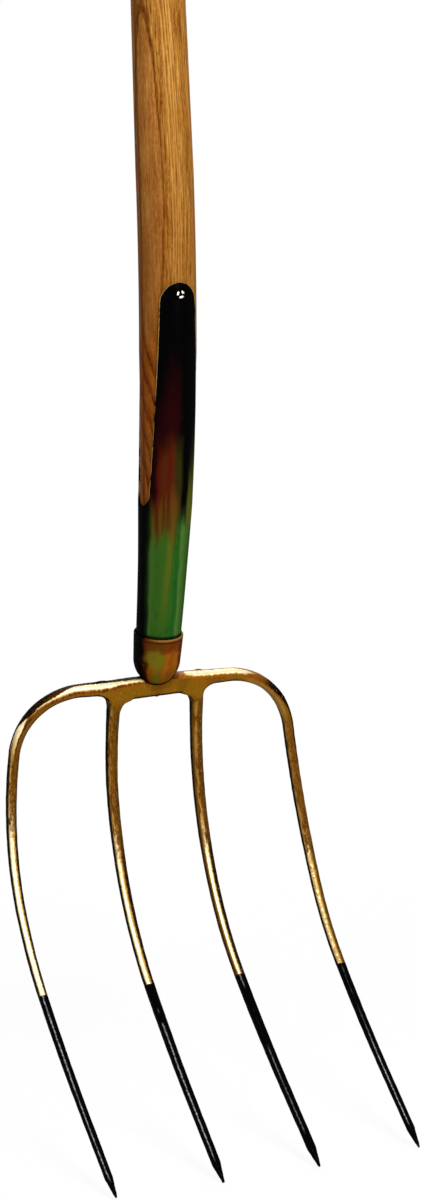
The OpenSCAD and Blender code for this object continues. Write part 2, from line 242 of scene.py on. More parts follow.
class StageSizes(bpy.types.PropertyGroup):
    """The camera, floor and lamps."""
    azimuth: turn("Azimuth", "Camera's angle round the fork, from the front", -23.42)
    elevation: turn("Elevation", "Camera's angle above the level", 6.23)
    roll: turn("Roll", "Camera's turn about its own line of sight", -2.1)
    distance: length("Distance", "Distance from the camera to its target", 2100)
    target_right: length("Target right", "Target to the right of the crossbar's middle", 40.58)
    target_rise: length("Target rise", "Target above the crossbar's line", 56.95)
    focal_pixels: share("Focal length", "Focal length in pixels of the picture", 3033.8)
    floor_room: length("Floor room", "Gap between the points and the floor", 0.3)
    floor_half: length("Floor half", "Half of the floor's width", 6000)
    shade_near: length("Shade", "Radius within which the floor shows the fork's full shadow", 350)
    shade_far: length("Shade end", "Radius past which the floor is plain white", 1500)
    shade_share: share("Shade share", "Share of the lit floor that shows within the shade", 0.1)
    floor_grey: share("Floor grey", "Grey of the floor in the light that it throws back", 0.65)
    key_power: share("Key", "Power of the lamp in front and above, in watts", 36)
    fill_power: share("Fill", "Power of the lamp in front, in watts", 8)
    back_power: share("Back", "Power of the lamp behind, in watts", 24)
    sky: share("Sky", "Strength of the soft light all round", 0.25)


PROPERTY_GROUPS = {
    "fork_handle": HandleSizes,
    "fork_socket": SocketSizes,
    "fork_head": HeadSizes,
    "fork_finish": Finishes,
    "fork_stage": StageSizes,
}


# Node expressions

class Value:
    """A socket that can stand in a sum: each operator adds its Math node."""

    def __init__(self, graph, socket):
        self.graph = graph
        self.socket = socket

    def __add__(self, other):
        return self.graph.math("ADD", self, other)

    def __radd__(self, other):
        return self.graph.math("ADD", other, self)

    def __sub__(self, other):
        return self.graph.math("SUBTRACT", self, other)

    def __rsub__(self, other):
        return self.graph.math("SUBTRACT", other, self)

    def __mul__(self, other):
        return self.graph.math("MULTIPLY", self, other)

    def __rmul__(self, other):
        return self.graph.math("MULTIPLY", other, self)

    def __truediv__(self, other):
        return self.graph.math("DIVIDE", self, other)

    def __rtruediv__(self, other):
        return self.graph.math("DIVIDE", other, self)

    def __neg__(self):
        return self.graph.math("MULTIPLY", self, -1.0)

    def __abs__(self):
        return self.graph.math("ABSOLUTE", self)


class Graph:
    """Adds nodes to one tree."""

    def __init__(self, tree):
        self.tree = tree

    def node(self, kind, settings=None, sockets=None, output=0):
        """Adds a node, applies its settings, fills its sockets and gives one of its outputs."""
        made = self.tree.nodes.new(kind)
        for name, setting in (settings or {}).items():
            if name == "stops":
                self.set_stops(made.color_ramp.elements, setting)
            else:
                setattr(made, name, setting)
        for key, value in (sockets or {}).items():
            if isinstance(value, Value):
                self.tree.links.new(value.socket, made.inputs[key])
            else:
                made.inputs[key].default_value = value
        return Value(self, made.outputs[output]) if made.outputs else made

    @staticmethod
    def set_stops(elements, stops):
        """Fills a ramp from (place, colour) pairs."""
        while len(elements) < len(stops):
            elements.new(1.0)
        for element, (place, tint) in zip(elements, stops):
            element.position = place
            element.color = tint

    def math(self, operation, *values):
        """One Math node."""
        return self.node("ShaderNodeMath", {"operation": operation}, dict(enumerate(values)))

    def split(self, vector):
        """The three numbers of a vector."""
        made = self.node("ShaderNodeSeparateXYZ", None, {0: vector})
        return [Value(self, socket) for socket in made.socket.node.outputs]

    def join(self, x, y, z):
        """A vector from three numbers."""
        return self.node("ShaderNodeCombineXYZ", None, {0: x, 1: y, 2: z})

    def ease(self, value, low, high):
        """A smooth step from 0 at low to 1 at high."""
        settings = {"interpolation_type": "SMOOTHSTEP"}
        sockets = {"Value": value, "From Min": low, "From Max": high}
        return self.node("ShaderNodeMapRange", settings, sockets)

    def band(self, value, low, high, soft):
        """1 between two limits, with a soft edge on each side."""
        return self.ease(value, low - soft, low + soft) * self.ease(value, high + soft, high - soft)

    def mix(self, factor, first, second):
        """A colour between two colours."""
        settings = {"data_type": "RGBA", "clamp_factor": True}
        return self.node("ShaderNodeMix", settings, {0: factor, 6: first, 7: second}, output=2)

    def ramp(self, value, *stops):
        """A colour from a ramp."""
        return self.node("ShaderNodeValToRGB", {"stops": stops}, {0: value})

    def noise(self, vector, scale, detail=2.0, roughness=0.5):
        """A noise value round one half."""
        sockets = {"Vector": vector, "Scale": scale, "Detail": detail, "Roughness": roughness}
        return self.node("ShaderNodeTexNoise", {"noise_dimensions": "3D"}, sockets)


# The fork's line

def lookup(at, table):
    """Straight lines between the (place, value) pairs of a table, level beyond its ends."""
    if at <= table[0][0]:
        return table[0][1]
    for (low, first), (high, second) in zip(table, table[1:]):
        if at <= high:
            return first + (second - first) * (at - low) / (high - low)
    return table[-1][1]


def spread(start, end, step):
    """Even stations from start to end, without the end."""
    count = max(1, math.ceil((end - start) / step))
    return [start + (end - start) * k / count for k in range(count)]


def trace(runs, at):
    """The point and heading at a length along (length, turn) runs that start level; the last goes on."""
    across, down, heading = 0.0, 0.0, 0.0
    for index, (run, bend) in enumerate(runs):
        part = at if index == len(runs) - 1 else min(at, run)
        angle = bend * part / run
        if bend:
            radius = run / bend
            across += radius * (math.sin(heading + angle) - math.sin(heading))
            down += radius * (math.cos(heading) - math.cos(heading + angle))
        else:
            across += part * math.cos(heading)
            down += part * math.sin(heading)
        heading += angle
        at -= part
    return across, down, heading


def bend_top(handle):
    """Height of the bend's top above the crossbar's line."""
    return handle.neck_len + handle.bend_r * handle.bend_angle


def straight_len(handle):
    """Length of the straight line from the origin down to the bend."""
    return handle.shaft_len / 2 + handle.swell_len


def crossbar_place(handle):
    """The crossbar's middle, where the line turns from the neck into the tines."""
    sine, cosine = math.sin(handle.bend_angle), math.cos(handle.bend_angle)
    back = handle.bend_r * (1 - cosine) + handle.neck_len * sine
    drop = straight_len(handle) + handle.bend_r * sine + handle.neck_len * cosine
    return Vector((0, back, -drop))


def bend_tree():
    """Tree that bends a straight piece to the fork's line and stores its bench place as an attribute."""
    tree = bpy.data.node_groups.new(BEND_NAME, "GeometryNodeTree")
    tree.is_modifier = True
    tree.interface.new_socket("Geometry", in_out="INPUT", socket_type="NodeSocketGeometry")
    for name in ("Straight", "Bend radius", "Bend angle", "Neck", "Tine radius", "Tine angle",
                 "Ease radius", "Ease angle", "Mark depth", "Mark width"):
        tree.interface.new_socket(name, in_out="INPUT", socket_type="NodeSocketFloat")
    tree.interface.new_socket("Finish", in_out="INPUT", socket_type="NodeSocketMaterial")
    tree.interface.new_socket("Geometry", in_out="OUTPUT", socket_type="NodeSocketGeometry")
    graph = Graph(tree)
    entry = graph.node("NodeGroupInput")
    sockets = [Value(graph, socket) for socket in entry.socket.node.outputs]
    geometry, straight, bend_r, bend, neck = sockets[:5]
    tine_r, tine, ease_r, ease, depth, width, finish = sockets[5:12]
    bench = graph.node("GeometryNodeInputPosition")
    marks = (graph.noise(bench, 1 / width, 1.0) - 0.5) * depth
    normal = graph.node("GeometryNodeInputNormal")
    dent = graph.node("ShaderNodeVectorMath", {"operation": "SCALE"}, {"Vector": normal, "Scale": marks})
    dented = graph.node("ShaderNodeVectorMath", {"operation": "ADD"}, {0: bench, 1: dent})
    x, y, rise = graph.split(dented)

    # Each run of the line has its length, its radius, its heading at the start and the way it turns
    runs = [
        (straight, None, 0.0, 1),
        (bend_r * bend, bend_r, 0.0, -1),
        (neck, None, -bend, 1),
        (tine_r * tine, tine_r, -bend, 1),
        (ease_r * ease, ease_r, tine - bend, 1),
        (None, None, tine + ease - bend, 1),
    ]
    left = straight + bend_r * bend + neck - rise
    down, forward, heading = 0.0, 0.0, 0.0
    for index, (run, radius, start, way) in enumerate(runs):
        part = left if run is None else graph.math("MINIMUM", left, run)
        if index:
            part = graph.math("MAXIMUM", part, 0.0)
        if radius is None:
            cosine = graph.math("COSINE", start)
            sine = graph.math("SINE", start)
            down = part * cosine + down
            forward = part * sine + forward
        else:
            angle = part / radius * way
            end = angle + start
            down = (graph.math("SINE", end) - graph.math("SINE", start)) * radius * way + down
            forward = (graph.math("COSINE", start) - graph.math("COSINE", end)) * radius * way + forward
            heading = angle + heading
        left = left - part
    place = graph.join(
        x,
        y * graph.math("COSINE", heading) - forward,
        -(y * graph.math("SINE", heading)) - down,
    )

    settings = {"data_type": "FLOAT_VECTOR", "domain": "POINT"}
    kept = {"Geometry": geometry, "Name": "bench", "Value": bench}
    stored = graph.node("GeometryNodeStoreNamedAttribute", settings, kept)
    bent = graph.node("GeometryNodeSetPosition", None, {"Geometry": stored, "Position": place})
    smooth = graph.node("GeometryNodeSetShadeSmooth", None, {0: bent})
    real = graph.node("GeometryNodeRealizeInstances", None, {0: smooth})
    coated = graph.node("GeometryNodeSetMaterial", None, {"Geometry": real, "Material": finish})
    graph.node("NodeGroupOutput", None, {0: coated})
    return tree


def bend_piece(piece, finish, mark_d=0.0):
    """Bends a straight piece to the fork's line and leaves it as a plain mesh."""
    handle, head = bpy.context.scene.fork_handle, bpy.context.scene.fork_head
    tree = bpy.data.node_groups.get(BEND_NAME) or bend_tree()
    inputs = {
        "Straight": straight_len(handle),
        "Bend radius": handle.bend_r,
        "Bend angle": handle.bend_angle,
        "Neck": handle.neck_len,
        "Tine radius": head.tine_bend_r,
        "Tine angle": head.tine_bend_angle,
        "Ease radius": head.ease_r,
        "Ease angle": head.ease_angle,
        "Mark depth": mark_d,
        "Mark width": head.mark_w,
        "Finish": finish,
    }
    modifier = piece.modifiers.new("Bend", "NODES")
    modifier.node_group = tree
    for item in tree.interface.items_tree:
        if item.in_out == "INPUT" and item.name in inputs:
            modifier[item.identifier] = inputs[item.name]
    flatten(piece)


def flatten(piece):
    """Makes a piece's modifiers a part of its mesh."""
    depsgraph = bpy.context.evaluated_depsgraph_get()
    mesh = bpy.data.meshes.new_from_object(
        piece.evaluated_get(depsgraph), preserve_all_data_layers=True, depsgraph=depsgraph)
    piece.modifiers.clear()
    piece.data = mesh
    mesh.name = piece.name


def settle(piece, node):
    """Hands a finished piece to the frame in place of its solid."""
    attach(piece, BODY)
    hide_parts(node)


# Shapes on the bench

def skin(rows, closed=True):
    """Points and faces of a surface through rows of points, closed round each row and over its ends."""
    width = len(rows[0])
    points = [point for row in rows for point in row]
    faces = []
    for j in range(len(rows) - 1):
        for i in range(width if closed else width - 1):
            first, second = j * width + i, j * width + (i + 1) % width
            faces.append((first, second, second + width, first + width))
    if closed:
        faces.append(tuple(reversed(range(width))))
        faces.append(tuple(range(len(points) - width, len(points))))
    return points, faces


def new_piece(name, *shells):
    """An object from one or more skins."""
    points, faces = [], []
    for shell_points, shell_faces in shells:
        base = len(points)
        points.extend(shell_points)
        faces.extend(tuple(base + i for i in face) for face in shell_faces)
    mesh = bpy.data.meshes.new(name)
    mesh.from_pydata(points, [], faces)
    mesh.update()
    piece = bpy.data.objects.new(name, mesh)
    bpy.context.scene.collection.objects.link(piece)
    return piece


def revolve(profile, sides):
    """Skin of a profile of (radius, height) pairs turned about the height's axis, upwards."""
    angles = [2 * math.pi * i / sides for i in range(sides)]
    return skin([[(r * math.cos(a), r * math.sin(a), z) for a in angles] for r, z in profile])


def arc(centre, radius, start, end, steps):
    """Points of an arc in a profile, by angles from the profile's outward axis."""
    turns = [start + (end - start) * k / steps for k in range(steps + 1)]
    return [(centre[0] + radius * math.cos(a), centre[1] + radius * math.sin(a)) for a in turns]


def wood_radius(handle, rise):
    """Radius of the wood at a height above the crossbar's line."""
    top = bend_top(handle)
    return lookup(rise, [
        (handle.nose_rise, handle.nose_d / 2),
        (handle.waist_rise, handle.waist_d / 2),
        (bpy.context.scene.fork_socket.notch_rise, handle.mouth_d / 2),
        (top - handle.belly_len, handle.belly_d / 2),
        (top, handle.belly_d / 2),
        (top + handle.swell_len, handle.shaft_d / 2),
    ])


def strap_radius(rise):
    """Outer radius of the straps at a height above the crossbar's line."""
    socket = bpy.context.scene.fork_socket
    return wood_radius(bpy.context.scene.fork_handle, rise) + socket.wood_gap + socket.strap_t


def strap_half_angle(socket, rise):
    """Half the angle that a strap takes up round the axis."""
    radius = strap_radius(rise)
    bite = socket.notch_w / 2
    notch_top = socket.notch_rise + bite
    end_r = socket.strap_top_w / 2
    round_rise = socket.notch_rise + socket.strap_len - end_r
    if rise < notch_top:
        up = max(0.0, rise - socket.notch_rise)
        half = math.pi / 2 * radius - math.sqrt(max(0.0, bite ** 2 - (bite - up) ** 2))
    elif rise < round_rise:
        foot = math.pi / 2 * strap_radius(notch_top) - bite
        half = foot + (end_r - foot) * (rise - notch_top) / (round_rise - notch_top)
    else:
        half = math.sqrt(max(0.0, end_r ** 2 - (rise - round_rise) ** 2))
    return (half - socket.seam_gap / 2) / radius


def section(head, outer, inner, depth, steps=6):
    """Corners of a round-cornered section with its own reach on each side, as (out, front) pairs."""
    radius = head.corner * min(outer + inner, depth)
    centres = [(outer - radius, depth / 2 - radius), (radius - inner, depth / 2 - radius),
               (radius - inner, radius - depth / 2), (outer - radius, radius - depth / 2)]
    corners = []
    for quarter, centre in enumerate(centres):
        corners += arc(centre, radius, quarter * math.pi / 2, (quarter + 1) * math.pi / 2, steps)
    return corners


def tine_width(head, root_w, end_w, part, left):
    """Thickness of a tine at a part of its length, thinned over its ground point."""
    if left >= head.point_len:
        return root_w + (end_w - root_w) * part
    return head.point_w + (end_w - head.point_w) * max(0.0, left) / head.point_len


def bow_runs(head):
    """Runs of the crossbar's front view, from its middle to an outer point."""
    runs = [(head.bow_half, 0.0), (head.bow_r * head.bow_angle, head.bow_angle),
            (head.flank_r * head.flank_angle, head.flank_angle)]
    _, down, heading = trace(runs, sum(run for run, _ in runs))
    leg = (head.tine_len - head.outer_short - down) / math.sin(heading)
    return runs + [(leg, 0.0)]


def bar_ring(head, runs, at):
    """A ring of the crossbar and outer tines, at a signed length from the middle."""
    total = sum(run for run, _ in runs)
    foot = runs[0][0] + runs[1][0]
    root = head.inner_root / 2 + head.inner_w / 2 + head.fillet_out
    reach = abs(at)
    part = max(0.0, reach - foot) / (total - foot)
    thick = tine_width(head, head.outer_w, head.outer_end_w, part, total - reach)
    slim, tine = (root, head.bar_h / 2), (foot, thick / 2)
    up = lookup(reach, [(head.yoke_half, head.yoke_rise), slim, tine])
    low = lookup(reach, [(head.yoke_half, head.yoke_h - head.yoke_rise), slim, tine])
    depth = lookup(reach, [(root, head.yoke_d), (head.bow_half, head.bar_d), (foot, thick)])
    across, down, heading = trace(runs, reach)
    side = math.copysign(1, at)
    return [(side * (across + out * math.sin(heading)), -front, out * math.cos(heading) - down)
            for out, front in section(head, up, low, depth)]


def inner_axis(head, part):
    """Distance of an inner tine from the middle, at a part of its length."""
    return (head.inner_root + (head.inner_tip - head.inner_root) * part) / 2


def limb_place(head, across, depth, down):
    """Share out of a limb's middle, the limb's heading, share to the front, and 1 on an inner tine."""
    part = max(0.0, down) / head.tine_len
    edge = head.yoke_h - head.yoke_rise
    axis = inner_axis(head, part)
    if down > edge and across < axis + 2 * head.inner_w:
        half = (head.inner_w + (head.inner_end_w - head.inner_w) * part) / 2
        side = lookup(down, [(edge, head.yoke_d / 2), (head.yoke_h + 2 * head.fillet_in, half)])
        return (across - axis) / half, math.pi / 2, -depth / side, 1.0
    half = lookup(down, [(0.0, head.bar_h / 2), (head.bow_r, head.outer_w / 2),
                         (head.tine_len, head.outer_end_w / 2)])
    if across < head.bow_half:
        side = lookup(across, [(head.inner_root / 2, head.yoke_d / 2), (head.bow_half, head.bar_d / 2)])
        return -down / half, 0.0, -depth / side, 0.0
    heading = math.atan2(across - head.bow_half, head.bow_r - down)
    if heading < head.bow_angle:
        out = math.hypot(across - head.bow_half, head.bow_r - down) - head.bow_r
        return out / half, heading, -depth / half, 0.0
    sine, cosine = math.sin(head.bow_angle), math.cos(head.bow_angle)
    centre = head.bow_half + (head.bow_r - head.flank_r) * sine
    below = head.bow_r + (head.flank_r - head.bow_r) * cosine
    heading = min(math.atan2(across - centre, below - down), head.bow_angle + head.flank_angle)
    out = (across - centre) * math.sin(heading) + (below - down) * math.cos(heading) - head.flank_r
    return out / half, heading, -depth / half, 0.0


def tine_ring(head, side, down):
    """A ring of an inner tine, at a length down it."""
    part = max(0.0, down) / head.tine_len
    edge = head.yoke_h - head.yoke_rise
    across = inner_axis(head, part)
    thick = tine_width(head, head.inner_w, head.inner_end_w, part, head.tine_len - down)
    depth = lookup(down, [(edge, head.yoke_d), (head.yoke_h + 2 * head.fillet_in, thick)])

    def flare(start, radius):
        """Extra width of the fillet below an edge of the crossbar."""
        up = min(radius, max(0.0, start + radius - down))
        return radius - math.sqrt(radius ** 2 - up ** 2)

    corners = section(head, thick / 2 + flare(head.bar_h / 2, head.fillet_out),
                      thick / 2 + flare(edge, head.fillet_in), depth)
    return [(side * (across + out), -front, -down) for out, front in corners]


# Finishes

LACQUER = {"Specular IOR Level": 0.0, "Coat Weight": 0.03}


def clean_graph(owner):
    """An empty graph on a material or a world."""
    owner.use_nodes = True
    owner.node_tree.nodes.clear()
    return Graph(owner.node_tree)


def new_finish(name):
    """A material with its graph, and its place on the bench as three numbers of millimetres."""
    material = bpy.data.materials.new(name)
    graph = clean_graph(material)
    bench = graph.node("ShaderNodeAttribute", {"attribute_name": "bench"}, output="Vector")
    return material, graph, [part / MM for part in graph.split(bench)]


def coat(graph, sockets):
    """A surface shader on the material's output."""
    shader = graph.node("ShaderNodeBsdfPrincipled", None, sockets)
    graph.node("ShaderNodeOutputMaterial", None, {"Surface": shader})


def bump(graph, height, strength, distance):
    """A normal from a height, over a distance in millimetres."""
    sockets = {"Height": height, "Strength": strength, "Distance": distance * MM}
    return graph.node("ShaderNodeBump", None, sockets)


def streaks(graph, place, across, along, detail=2.0, roughness=0.5):
    """Noise whose spots are so many millimetres across and along the piece."""
    x, y, z = place
    return graph.noise(graph.join(x / across, y / across, z / along), 1.0, detail, roughness)


def ash_rings(graph, place):
    """Rings that run flat past one side: their number, the place in a ring, and how open its year is."""
    x, y, z = place
    flat_turn = math.radians(-61)
    flat_out = 16.5
    ring_w = 1.65
    sway = 7.5
    sway_len = 800
    sway_rise = 355
    inside = flat_out - x * math.sin(flat_turn) + y * math.cos(flat_turn)
    swing = 1 - graph.math("COSINE", (z - sway_rise) * (2 * math.pi / sway_len))
    waver = (streaks(graph, place, 30, 120) - 0.5) * 1.2 + (streaks(graph, place, 3, 26) - 0.5) * 0.9
    count = inside / ring_w + swing * (sway / 2) + waver
    rings = graph.math("MAXIMUM", count, 0.0) + graph.math("MINIMUM", count, 0.0) * 0.4
    year = graph.noise(graph.join(graph.math("FLOOR", rings), 0.5, 0.5), 0.73, 0.0)
    return rings, graph.math("FRACT", rings), year


def ash_stain(graph, c, z, angle, clouds, flecks):
    """Oil-stained wood beside the straps, with its rings cut into pointed arches."""
    arch_turn = 120
    arch_rise = 86
    arch_step = 22
    slope = abs(graph.math("FRACT", angle / arch_turn + 0.917) - 0.5) * arch_rise
    flame = graph.math("FRACT", (z - slope + (clouds - 0.5) * 18) / arch_step)
    flame = graph.ease(flame, 0.0, 0.1) * graph.ease(flame, 0.7, 0.1)
    stained = graph.mix(flame, c.ash_red, c.ash_line)
    stained = graph.mix(graph.ease(flecks, 0.48, 0.36) * 0.3, stained, c.ash_gold)
    return graph.mix(graph.ease(flecks, 0.52, 0.66) * 0.4, stained, c.ash_line)


def ash_finish():
    """Oiled ash, cut so that its rings run flat past one side, with their open pores and fibres."""
    c = bpy.context.scene.fork_finish
    material, graph, place = new_finish("oiled_ash")
    x, y, z = place
    rings, ring, year = ash_rings(graph, place)
    angle = graph.math("ARCTAN2", x, -y) * (180 / math.pi)
    clouds = streaks(graph, place, 5, 30, 3.0)
    grain = streaks(graph, place, 1.6, 26)
    fibres = streaks(graph, place, 0.5, 24, 3.0, 0.6)
    flecks = streaks(graph, place, 0.8, 3.5, 3.0, 0.6)
    dashes = graph.ease(streaks(graph, place, 1.0, 6.5), 0.46, 0.58)
    cut = 0.3 + graph.ease(rings, -0.1, 0.5) * 0.6
    tone = graph.mix(graph.ease(rings, -0.3, 0.4), c.ash_tan, c.ash_gold)
    for noise, start, full, amount, tint in (
        (clouds, 0.5, 0.72, 0.35, c.ash_pale),
        (clouds, 0.5, 0.3, 0.35, c.ash_brown),
        (grain, 0.52, 0.66, cut, c.ash_brown),
        (grain, 0.46, 0.3, cut, c.ash_pale),
        (fibres, 0.5, 0.68, 0.4, c.ash_brown),
        (fibres, 0.48, 0.3, 0.3, c.ash_pale),
        (flecks, 0.53, 0.66, 0.45, c.ash_brown),
        (flecks, 0.46, 0.34, 0.35, c.ash_pale),
    ):
        tone = graph.mix(graph.ease(noise, start, full) * amount, tone, tint)

    # Pale late wood and the dark pores that open each ring
    late = graph.ease(ring, 0.45, 0.8) * graph.ease(year, 0.46, 0.6) * graph.ease(rings, 0.5, 1.0)
    tone = graph.mix(late * 0.6, tone, c.ash_pale)
    first = graph.ease(abs(rings - 0.5), 0.56, 0.44)
    line = graph.ease(ring, 0.75, 0.3) * first * (0.6 + dashes * 0.35)
    open_year = 0.4 + graph.ease(year, 0.6, 0.35) * 0.5
    pores = graph.ease(ring, 0.5, 0.05) * (0.2 + dashes * 0.7) * open_year
    pores = graph.math("MAXIMUM", pores, line) * graph.ease(rings, -0.02, 0.06)
    tone = graph.mix(pores, tone, c.ash_dark)

    # Darker wood towards the socket, and painted shade on the left: a dark streak near the left side and
    # a brown flank
    tone = graph.mix(graph.ease(z, 430, 280) * 0.35, tone, c.ash_brown)
    stained = ash_stain(graph, c, z, angle, clouds, flecks)
    tone = graph.mix(graph.ease(z + (clouds - 0.5) * 30, 275, 222) * 0.88, tone, stained)
    # Painted shade: a dark streak along the wood near its left side
    painted_streak = graph.ease(abs(angle + 83 + (clouds - 0.5) * 8), 6, 1.5)
    tone = graph.mix(painted_streak * 0.65, tone, c.ash_dark)
    # Painted shade: a brown flank on the left side
    flank = graph.ease(angle, -92, -108) * graph.ease(angle, -150, -130)
    tone = graph.mix(flank * 0.7, tone, c.ash_brown)
    coat(graph, {
        "Base Color": tone,
        "Roughness": 0.5 + fibres * 0.16,
        "Specular IOR Level": 0.03,
        "Normal": bump(graph, fibres * 0.5 - pores, 0.3, 0.15),
    })
    return material


def round_angle(graph, place):
    """Degrees from the front or the back, to the right."""
    x, y, _ = place
    return graph.math("ARCTAN2", x, abs(y)) * (180 / math.pi)


def by_angle(graph, angle, *stops):
    """A colour ramp over the half turn, from (degrees, colour) pairs."""
    return graph.ramp(angle / 180 + 0.5, *((degrees / 180 + 0.5, tint) for degrees, tint in stops))


def strap_finish():
    """Green lacquer with painted reflection and shade: black by the rivet, through maroon to green, with
    long streaks.
    """
    scene = bpy.context.scene
    c, socket = scene.fork_finish, scene.fork_socket
    cup_rim = scene.fork_handle.neck_len / MM
    notch_foot = socket.notch_rise / MM
    green_top = socket.green_rise / MM
    maroon_foot = socket.maroon_rise / MM
    black_foot = socket.black_rise / MM
    material, graph, place = new_finish("shaded_lacquer")
    rise = place[2]
    streak = streaks(graph, place, 3.5, 60)
    cloud = streaks(graph, place, 12, 24)
    blotch = streaks(graph, place, 6, 11)
    drift = streaks(graph, place, 8, 70)
    grit = streaks(graph, place, 1.2, 3)
    angle = round_angle(graph, place) + (streak - 0.5) * 10 + (cloud - 0.5) * 14
    wander = rise + (drift - 0.5) * 24 + (streak - 0.5) * 8 + (cloud - 0.5) * 14 + (blotch - 0.5) * 8

    # Colours round the socket, low, in the middle and high: painted reflection bands on the green
    # lacquer, painted shade in black on both flanks, and painted dark reflection in black and maroon
    # higher up
    black = c.shade_and_reflection_black
    low = by_angle(graph, angle, (-90, black), (-67, black), (-58, c.bottle_green), (-49, c.fern),
                   (-42, c.leaf_green), (-4, c.leaf_green), (8, c.deep_green), (14, c.deep_green),
                   (22, c.lime), (40, c.leaf_green), (66, c.bottle_green), (90, black))
    middle = by_angle(graph, angle, (-90, black), (-56, black), (-44, c.maroon), (-38, c.oxblood),
                      (-26, c.umber), (-16, c.oxblood), (-8, c.umber), (0, c.dark_olive),
                      (8, c.dark_olive), (16, black), (31, black), (42, c.dark_olive),
                      (60, c.dark_olive), (90, black))
    high = by_angle(graph, angle, (-90, black), (-50, black), (-40, c.maroon), (0, c.maroon),
                    (9, black), (90, black))
    # Darker green blotches, and painted reflection in an olive streak and in bright green streaks on the
    # left
    low = graph.mix(graph.ease(blotch, 0.54, 0.74) * 0.25, low, c.bottle_green)
    painted_streak = graph.ease(abs(angle + 9 + graph.ease(rise, 95, 60) * 7), 11, 2) * graph.ease(rise, 42, 84)
    low = graph.mix(painted_streak * 0.75, low, c.olive)
    low = graph.mix(graph.ease(streak, 0.54, 0.68) * graph.ease(angle, -60, -46) * 0.4, low, c.fern)

    # From the green up to the black, with painted reflection bands: red-brown on the left and olive on
    # the right
    tone = graph.mix(graph.ease(wander, green_top - 12, green_top + 12), low, middle)
    lit = graph.ease(angle, -60, -48) * graph.ease(angle, 14, -4)
    reflected_band = graph.ease(wander, green_top - 23, green_top - 6)
    reflected_band = reflected_band * graph.ease(wander, green_top + 21, green_top + 5) * lit
    reflected_tone = graph.mix(graph.ease(streak, 0.4, 0.54), c.tan_umber, c.umber)
    tone = graph.mix(reflected_band * 0.8, tone, reflected_tone)
    # Painted reflection: an olive band on the right above the green
    rim = graph.ease(angle, 25, 38) * graph.ease(wander, green_top - 14, green_top - 2)
    rim = rim * graph.ease(wander, green_top + 44, green_top + 8)
    tone = graph.mix(rim * 0.8, tone, c.olive)
    # Painted dark reflection: maroon, then black towards the rivet
    tone = graph.mix(graph.ease(wander, maroon_foot - 13, maroon_foot + 13), tone, high)
    narrow = graph.ease(angle, -42, -12) * 22 - 22
    tone = graph.mix(graph.ease(wander - narrow, black_foot - 28, black_foot + 28), tone, black)

    # A painted shadow line over the cup, and a painted highlight in brass along the straps' edges
    tone = graph.mix(graph.ease(rise, cup_rim + 3, cup_rim + 1) * 0.9, tone, black)
    inset = graph.node("ShaderNodeAttribute", {"attribute_name": "inset"}, output="Fac")
    # Painted highlight where the straps' edges catch the light
    worn = graph.ease(inset + (grit - 0.5) * 0.5, 0.45, 0.25)
    worn = worn * graph.ease(rise, notch_foot + 3.5, notch_foot + 9.5)
    tone = graph.mix(worn * graph.ease(streaks(graph, place, 3, 9), 0.36, 0.52) * 0.8, tone, c.brass)
    coat(graph, {
        **LACQUER,
        "Base Color": tone,
        "Roughness": 0.3,
        "Coat Roughness": 0.16,
        "Normal": bump(graph, cloud + grit * 0.15, 0.12, 0.4),
    })
    return material


def cup_finish():
    """Lacquer on the cup: orange-brown with green and brick clouds, and painted shade in black on the
    left flank.
    """
    scene = bpy.context.scene
    c = scene.fork_finish
    rim = scene.fork_handle.neck_len / MM
    bottom = (scene.fork_head.yoke_rise - scene.fork_socket.cup_reach) / MM
    material, graph, place = new_finish("clouded_lacquer")
    rise = place[2]
    cloud = streaks(graph, place, 9, 9)
    patch = streaks(graph, place, 3.5, 3.5, 3.0)
    grit = streaks(graph, place, 1.4, 1.4)
    angle = round_angle(graph, place) + (cloud - 0.5) * 14 + (patch - 0.5) * 14 + (grit - 0.5) * 6
    drop = rise + (cloud - 0.5) * 6 + (patch - 0.5) * 8 + (grit - 0.5) * 3
    black = c.shade_and_reflection_black
    # Painted shade: the ramp goes to black on the left flank and to dark red at the right
    tone = by_angle(graph, angle, (-90, black), (-66, black), (-58, c.dark_brick), (-50, c.brick),
                    (-43, c.bronze), (-12, c.bronze), (0, c.rust_gold), (12, c.rust_brown),
                    (24, c.rust_gold), (33, c.rust_gold), (42, c.brick), (90, c.dark_brick))
    for turned, high, half_turn, half_high, tint in (
        (-30, 22, 24, 13, c.moss),
        (-38, 25, 9, 6, c.moss),
        (-15, 26, 8, 7, c.pea_green),
        (-22, 8, 13, 4, c.pea_green),
        (-54, 16, 9, 6, c.dark_brick),
        (-40, 14, 8, 5, c.rust_brown),
        (14, 12, 14, 6, c.bronze),
    ):
        sideways, upwards = (angle - turned) / half_turn, (drop - high) / half_high
        away = graph.math("SQRT", sideways * sideways + upwards * upwards)
        tone = graph.mix(graph.ease(away, 1.4, 0.3) * 0.8, tone, tint)
    tone = graph.mix(graph.ease(drop, 26, 32) * graph.ease(angle, -64, -50) * 0.75, tone, c.brick)
    tone = graph.mix(graph.ease(patch, 0.5, 0.72) * 0.15, tone, c.brick)
    # Painted highlight on the lip, painted shade in a dark line under it, and painted shadow where the
    # cup sits on the crossbar
    lip = graph.ease(rise, rim - 1.5, rim - 0.7) * graph.ease(angle, -50, -20)
    tone = graph.mix(lip * 0.3, tone, c.brass)
    lip_shade = graph.ease(rise, rim - 3.1, rim - 2.5) * graph.ease(rise, rim - 1.5, rim - 2.1)
    tone = graph.mix(lip_shade * 0.6, tone, c.shade_black)
    tone = graph.mix(graph.ease(rise, bottom + 2.6, bottom + 1.0) * 0.8, tone, c.shade_black)
    coat(graph, {
        **LACQUER,
        "Base Color": tone,
        "Roughness": 0.4,
        "Coat Roughness": 0.2,
        "Normal": bump(graph, patch + cloud, 0.2, 0.4),
    })
    return material


